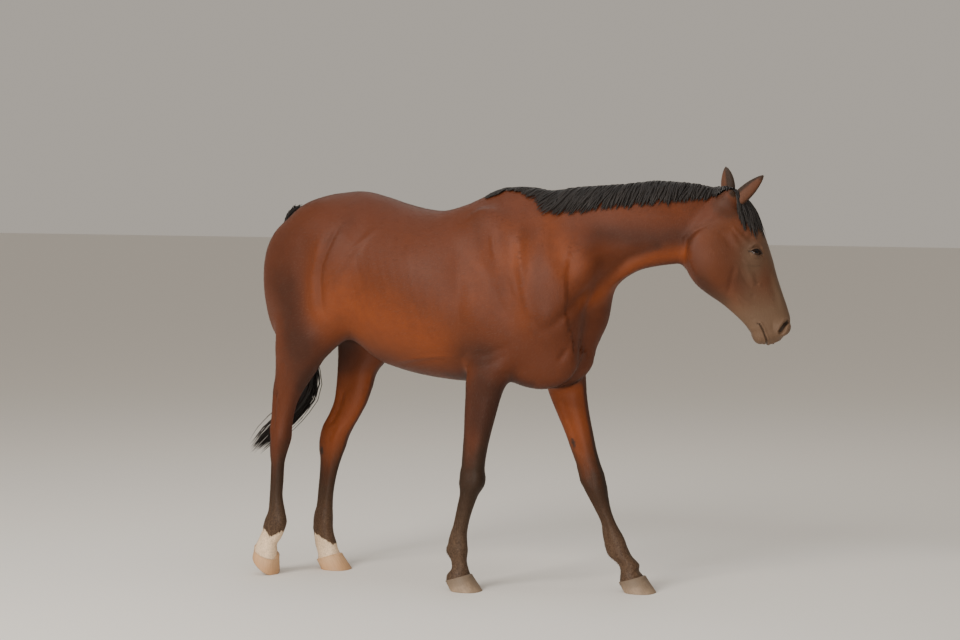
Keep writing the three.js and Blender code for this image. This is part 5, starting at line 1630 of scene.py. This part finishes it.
# Tufts spread over a piece of skin: blades of ten faces along the way the hair lies.
def tuftGrowth():
    growth = Growth("coatTufts", {"Density": "Float", "Seed": "Int"})
    add, maths, vector = growth.add, growth.start.maths, growth.start.vector
    inputs = {"Vertices": 3, "Side Segments": 2, "Fill Segments": 1, "Radius Top": 0.0, "Radius Bottom": 1.0}
    blade = add("GeometryNodeMeshCone", {**inputs, "Depth": 1.0}, fill_type="NGON")
    px, py, pz = add("GeometryNodeInputPosition").parts()
    widen = maths("MULTIPLY_ADD", pz, 2.8, 0.6)
    thick = px * widen * -tuft["thin"]
    arch = pz * (1.0 - pz) * (4 * tuft["arch"])
    shaped = growth.start.combined(pz, py * widen * tuft["wide"], thick + arch - tuft["sunk"])
    flatU = maths("MULTIPLY_ADD", px, 0.12, maths("MULTIPLY_ADD", pz, 0.8, 0.1))
    flat = growth.start.combined(flatU, maths("MULTIPLY_ADD", py, 0.5, 0.5))
    blade = growth.store(growth.store(blade, "inPatch", flat, "FLOAT_VECTOR"), "along", pz)
    blade = add("GeometryNodeSetPosition", {"Geometry": blade, "Position": shaped})

    density = growth.stored("density", "FLOAT") * growth.given("Density")
    inputs = {"Mesh": growth.given("Geometry"), "Density": density, "Seed": growth.given("Seed")}
    spread = add("GeometryNodeDistributePointsOnFaces", inputs, distribute_method="RANDOM")
    points = growth.store(spread, "up", spread.out("Normal"), "FLOAT_VECTOR")
    points = growth.store(points, "shade", growth.randomly(0.0, 1.0, 5))
    flow, up = growth.stored("flow"), growth.stored("up")
    turn, lift = growth.randomly(-tuft["turn"], tuft["turn"], 1), growth.randomly(*tuft["lift"], 2)
    aim = vector("MULTIPLY_ADD", vector("CROSS_PRODUCT", up, flow), turn, flow)
    tilted = vector("MULTIPLY_ADD", flow, lift, up)
    rotation = add("FunctionNodeAxesToRotation", {0: tilted, 1: aim}, primary_axis="Z", secondary_axis="X")
    size = growth.stored("tuftLength", "FLOAT") * growth.randomly(*tuft["size"], 3)
    inputs = {"Points": points, "Instance": blade, "Rotation": rotation, "Scale": size}
    placed = add("GeometryNodeInstanceOnPoints", inputs)
    realized = add("GeometryNodeRealizeInstances", {"Geometry": placed})
    return growth.finish(realized, growth.stored("inPatch"))


def tuftMaterial():
    start, finish = newMaterial("bayTufts")
    shade, along = start.attribute("shade"), start.attribute("along")
    colour = coatColour(start, shade * shade * 0.03 + along * 0.015)
    return finish(Base_Color=colour, Roughness=0.44 + shade * 0.15, Specular_IOR_Level=0.18)


# Pieces of the coat as [number of tufts, nodes], numbered in this order.
coat = {
    "coatTrunkRight": [17500, "trunk"], "coatTrunkLeft": [17500, "trunk"],
    "coatNeckRight": [11000, "neck"], "coatNeckLeft": [11000, "neck"],
    "coatHead": [15000, "head"], "coatEars": [3600, "ear_right", "ear_left"],
    "coatForeRight": [8500, "leg_fore_right"], "coatForeLeft": [8500, "leg_fore_left"],
    "coatHindRight": [9000, "leg_hind_right"], "coatHindLeft": [9000, "leg_hind_left"],
}
tuftLengths = {
    "trunk": 15, "neck": 13, "leg": 10, "foot": 8, "fetlock": 17, "head": 6.5, "muzzle": 3.6, "ear": 6.5,
    "eye": 3.2,
}


# Which piece of the coat a place belongs to, and its place on that piece's unwrap: along and angle.
def unwrapOf(points, ear):
    x, y, z = points.T
    u, v, w = face.local(points).T
    nu, nv, nw = neck.local(points).T
    which = legPlace(points)[0]
    onHead = (u > 62) & (x > 1180) & (z > 900)
    onNeck = (nu > 95) & ~onHead
    place = np.array([np.where(y < 0, 0, 1), (x + 740) / 1500, np.arctan2(y, z - 1180)])

    def put(mine, *values):
        for i, value in enumerate(values):
            place[i] = np.where(mine, value, place[i])

    put(onNeck, np.where(nv < 0, 2, 3), (nu - 40) / 900, np.arctan2(nv, nw))
    put(onHead, 4, (u - 40) / 620, np.arctan2(v, 120 - w))
    for i, rows in enumerate(legSections.values()):
        middle = curveThrough(rows[::-1])(z)
        put((which == i) & (z < 800), 6 + i, z / 830, np.arctan2(y - middle[1], x - middle[0]))
    for i, side in enumerate(ears):
        a, b, c = earPlace(side).local(points).T
        along = 0.02 + 0.46 * np.clip(a / 175, 0, 1) + 0.5 * i
        put((ear > 0.5) & (np.hypot(b, c) < 60), 5, along, np.arctan2(b, c))
    return place


# One piece of the coat's tufts, grown on its share of the skin.
def makeCoat(name, skin, onSkin, unwrap, density, growth, material):
    pieces, along, angle = unwrap
    number = list(coat).index(name)
    mine = skin.triangles[np.median(pieces[skin.triangles], axis=1) == number]
    keep, ids = np.unique(mine, return_inverse=True)
    mesh = meshOf(name, inPlace(skin.points[keep]), ids.reshape(-1, 3))
    turns = angle[mine]
    centre = np.arctan2(np.sin(turns).sum(1), np.cos(turns).sum(1))[:, None]
    turns = centre + (turns - centre + math.pi) % (2 * math.pi) - math.pi
    across = 0.012 + 0.97 * np.clip(turns / (2 * math.pi) + 0.5, 0, 1)
    flat = np.stack([0.01 + 0.97 * np.clip(along[mine], 0, 1), across, 0 * turns], -1)
    store(mesh, "root", flat, "FLOAT_VECTOR", "CORNER")
    for title, (values, kind) in onSkin.items():
        store(mesh, title, values[keep], kind)
    a, b, c = (skin.points[mine[:, i]] / 1000 for i in range(3))
    area = (np.linalg.norm(np.cross(b - a, c - a), axis=1) / 2 * density[mine].mean(1)).sum()
    density = coat[name][0] / area
    return grown(name, mesh, growth, False, Density=density, Seed=number + 3, Material=material)


# How densely the tufts stand at each point, and how long they are.
def tuftPlan(points, tones, lidMask, ear):
    x, y, z = points.T
    u, v, w = face.local(points).T
    onHead = (u > 30) & (x > 1180) & (z > 900)
    trunk, leg, head = tuftLengths["trunk"], tuftLengths["leg"], tuftLengths["head"]
    lengths = trunk + (leg - trunk) * eased(900, 560, z)
    lengths += (tuftLengths["foot"] - leg) * eased(480, 160, z)
    lengths += (tuftLengths["neck"] - trunk) * eased(0, 400, neck.local(points)[:, 0]) * (z > 900)
    onFace = head + (tuftLengths["muzzle"] - head) * eased(330, 500, u)
    lengths += (onFace - lengths) * eased(-40, 170, u) * (x > 1150) * (z > 900)
    which, share, _ = legPlace(points)
    behindFetlock = (which >= 0) & (z > 100) & (z < 215) & (share < -0.45)
    lengths = np.where(behindFetlock, tuftLengths["fetlock"], lengths)
    lengths = np.where(ear > 0.3, tuftLengths["ear"], lengths)
    density = (12 / lengths) ** 1.1
    density *= 1 - eased(0.25, 0.5, tones[:, 2])
    density *= 1 - eased(0.15, 0.5, lidMask)
    for side in (-1, 1):
        a, b, c = eyePlaceOf(side).local(points).T
        upper, lower = lidEdges(np.clip(a, -22, 24))
        near = np.abs(c) < 60
        density = np.where(near & (np.abs(a) < 27) & (b < upper + 2.5) & (b > lower - 2.5), 0, density)
        lengths = np.where(near & (np.hypot(a, b) < 45), tuftLengths["eye"], lengths)
    for path, reach in ((nostrilPath, 15), (mouthPath, 4)):
        density[onHead & (alongPath(np.stack([u, w], 1), path)[0] < reach)] = 0
    return np.clip(density, 0, 6), lengths


field = makeField()
plain = makeSkin(field)
report(f"skin of {len(plain.triangles)} triangles")
skin, base, baseNormals, lidMask, earMask = detailSkin(plain)
report("relief")

marks, tones = markings(base, baseNormals, earMask)
tones[:, 2] = np.maximum(tones[:, 2], lidMask * 0.8)
flow = hairFlow(base, skin.normals(), earMask)
horseSkin = smoothPiece("skin", skin, coatMaterial())
down = np.abs(flow[:, 2:]).repeat(3, 1)
for title, values in {"marks": marks, "tones": tones, "flowDown": down}.items():
    store(horseSkin.data, title, values, "FLOAT_COLOR")
legs = "leg_fore_right", "leg_fore_left", "leg_hind_right", "leg_hind_left"
handOver(horseSkin, "coat", "trunk", "neck", "head", *legs, "ear_right", "ear_left")

locks, black = lockGrowth(), hairMaterial()
handOver(makeMane(field, locks, black), "hair", "mane")
handOver(makeForelock(field, locks, black), "hair", "forelock")
handOver(makeTail(locks, black), "hair", "tail")
report("mane, forelock and tail")

wet = eyeMaterial()
for side, name in ((-1, "right"), (1, "left")):
    handOver(makeEye("eyeball_" + name, side, wet), "eye", "eye_" + name)
handOver(makeLashes(locks, black), "hair", "eye_right", "eye_left")
horn = {"fore": hornMaterial("greyHorn"), "hind": hornMaterial("paleHorn")}
for end in ("fore", "hind"):
    for side in ("right", "left"):
        node = f"{end}_{side}"
        handOver(makeHoof("horn_" + node, end + side.title(), horn[end]), "hoof", "hoof_" + node)
report("eyes and hooves")

density, lengths = tuftPlan(base, tones, lidMask, earMask)
onSkin = {
    "marks": (marks, "FLOAT_COLOR"), "tones": (tones, "FLOAT_COLOR"), "flow": (flow, "FLOAT_VECTOR"),
    "density": (density, "FLOAT"), "tuftLength": (lengths / 1000, "FLOAT"),
}
unwrap = unwrapOf(base, earMask)
tufts, tufty = tuftGrowth(), tuftMaterial()
for name in coat:
    hair = makeCoat(name, skin, onSkin, unwrap, density, tufts, tufty)
    handOver(hair, "coat", *coat[name][1:])
report("coat")

floorMesh = bpy.data.meshes.new("floor")
floorMesh.from_pydata([(-40, -40, 0), (40, -40, 0), (40, 40, 0), (-40, 40, 0)], [], [(0, 1, 2, 3)])
floor = objectOf("floor", floorMesh)
floor.data.materials.append(newMaterial("paleFloor")[1](Base_Color=(0.80, 0.77, 0.72, 1), Roughness=0.9))

world = bpy.data.worlds.new("studio")
world.use_nodes = True
sky = world.node_tree.nodes["Background"].inputs
sky["Color"].default_value = (0.96, 0.88, 0.78, 1)
sky["Strength"].default_value = 0.48
bpy.context.scene.world = world

# Lamps as [place, target, size, power, colour].
lamps = {
    "keyLight": [(-1.9, -6.5, 4.9), (0, 0, 0.9), 3.0, 470, (1, 0.96, 0.90)],
    "fillLight": [(1.9, -7.5, 1.2), (0, 0, 0.7), 3, 290, (1, 0.95, 0.90)],
    "rimLight": [(-2, 4, 5), (0, 0, 1.2), 3, 30, (1, 0.97, 0.94)],
    "topLight": [(0, -0.6, 5), (0, 0, 1.4), 4, 70, (0.94, 0.97, 1)],
}
for name, (place, target, size, power, colour) in lamps.items():
    light = bpy.data.lights.new(name, "AREA")
    light.size, light.energy, light.color = size, power, colour
    lamp = objectOf(name, light)
    lamp.location = place
    x, y, z = np.array(target, float) - place
    lamp.rotation_euler = (math.atan2(math.hypot(x, y), -z), 0, math.atan2(y, x) - math.pi / 2)

view = {"place": (4.6475, -8.6308, 1.70), "turn": 27, "down": 3.665, "lens": 90.75}
camera = objectOf("camera", bpy.data.cameras.new("camera"))
camera.location = np.array(view["place"]) + [shift[0] / 1000, shift[1] / 1000, 0]
camera.rotation_euler = (math.radians(90 - view["down"]), 0, math.radians(view["turn"]))
camera.data.lens = view["lens"]
camera.data.sensor_width = 36
camera.data.clip_end = 200
bpy.context.scene.camera = camera
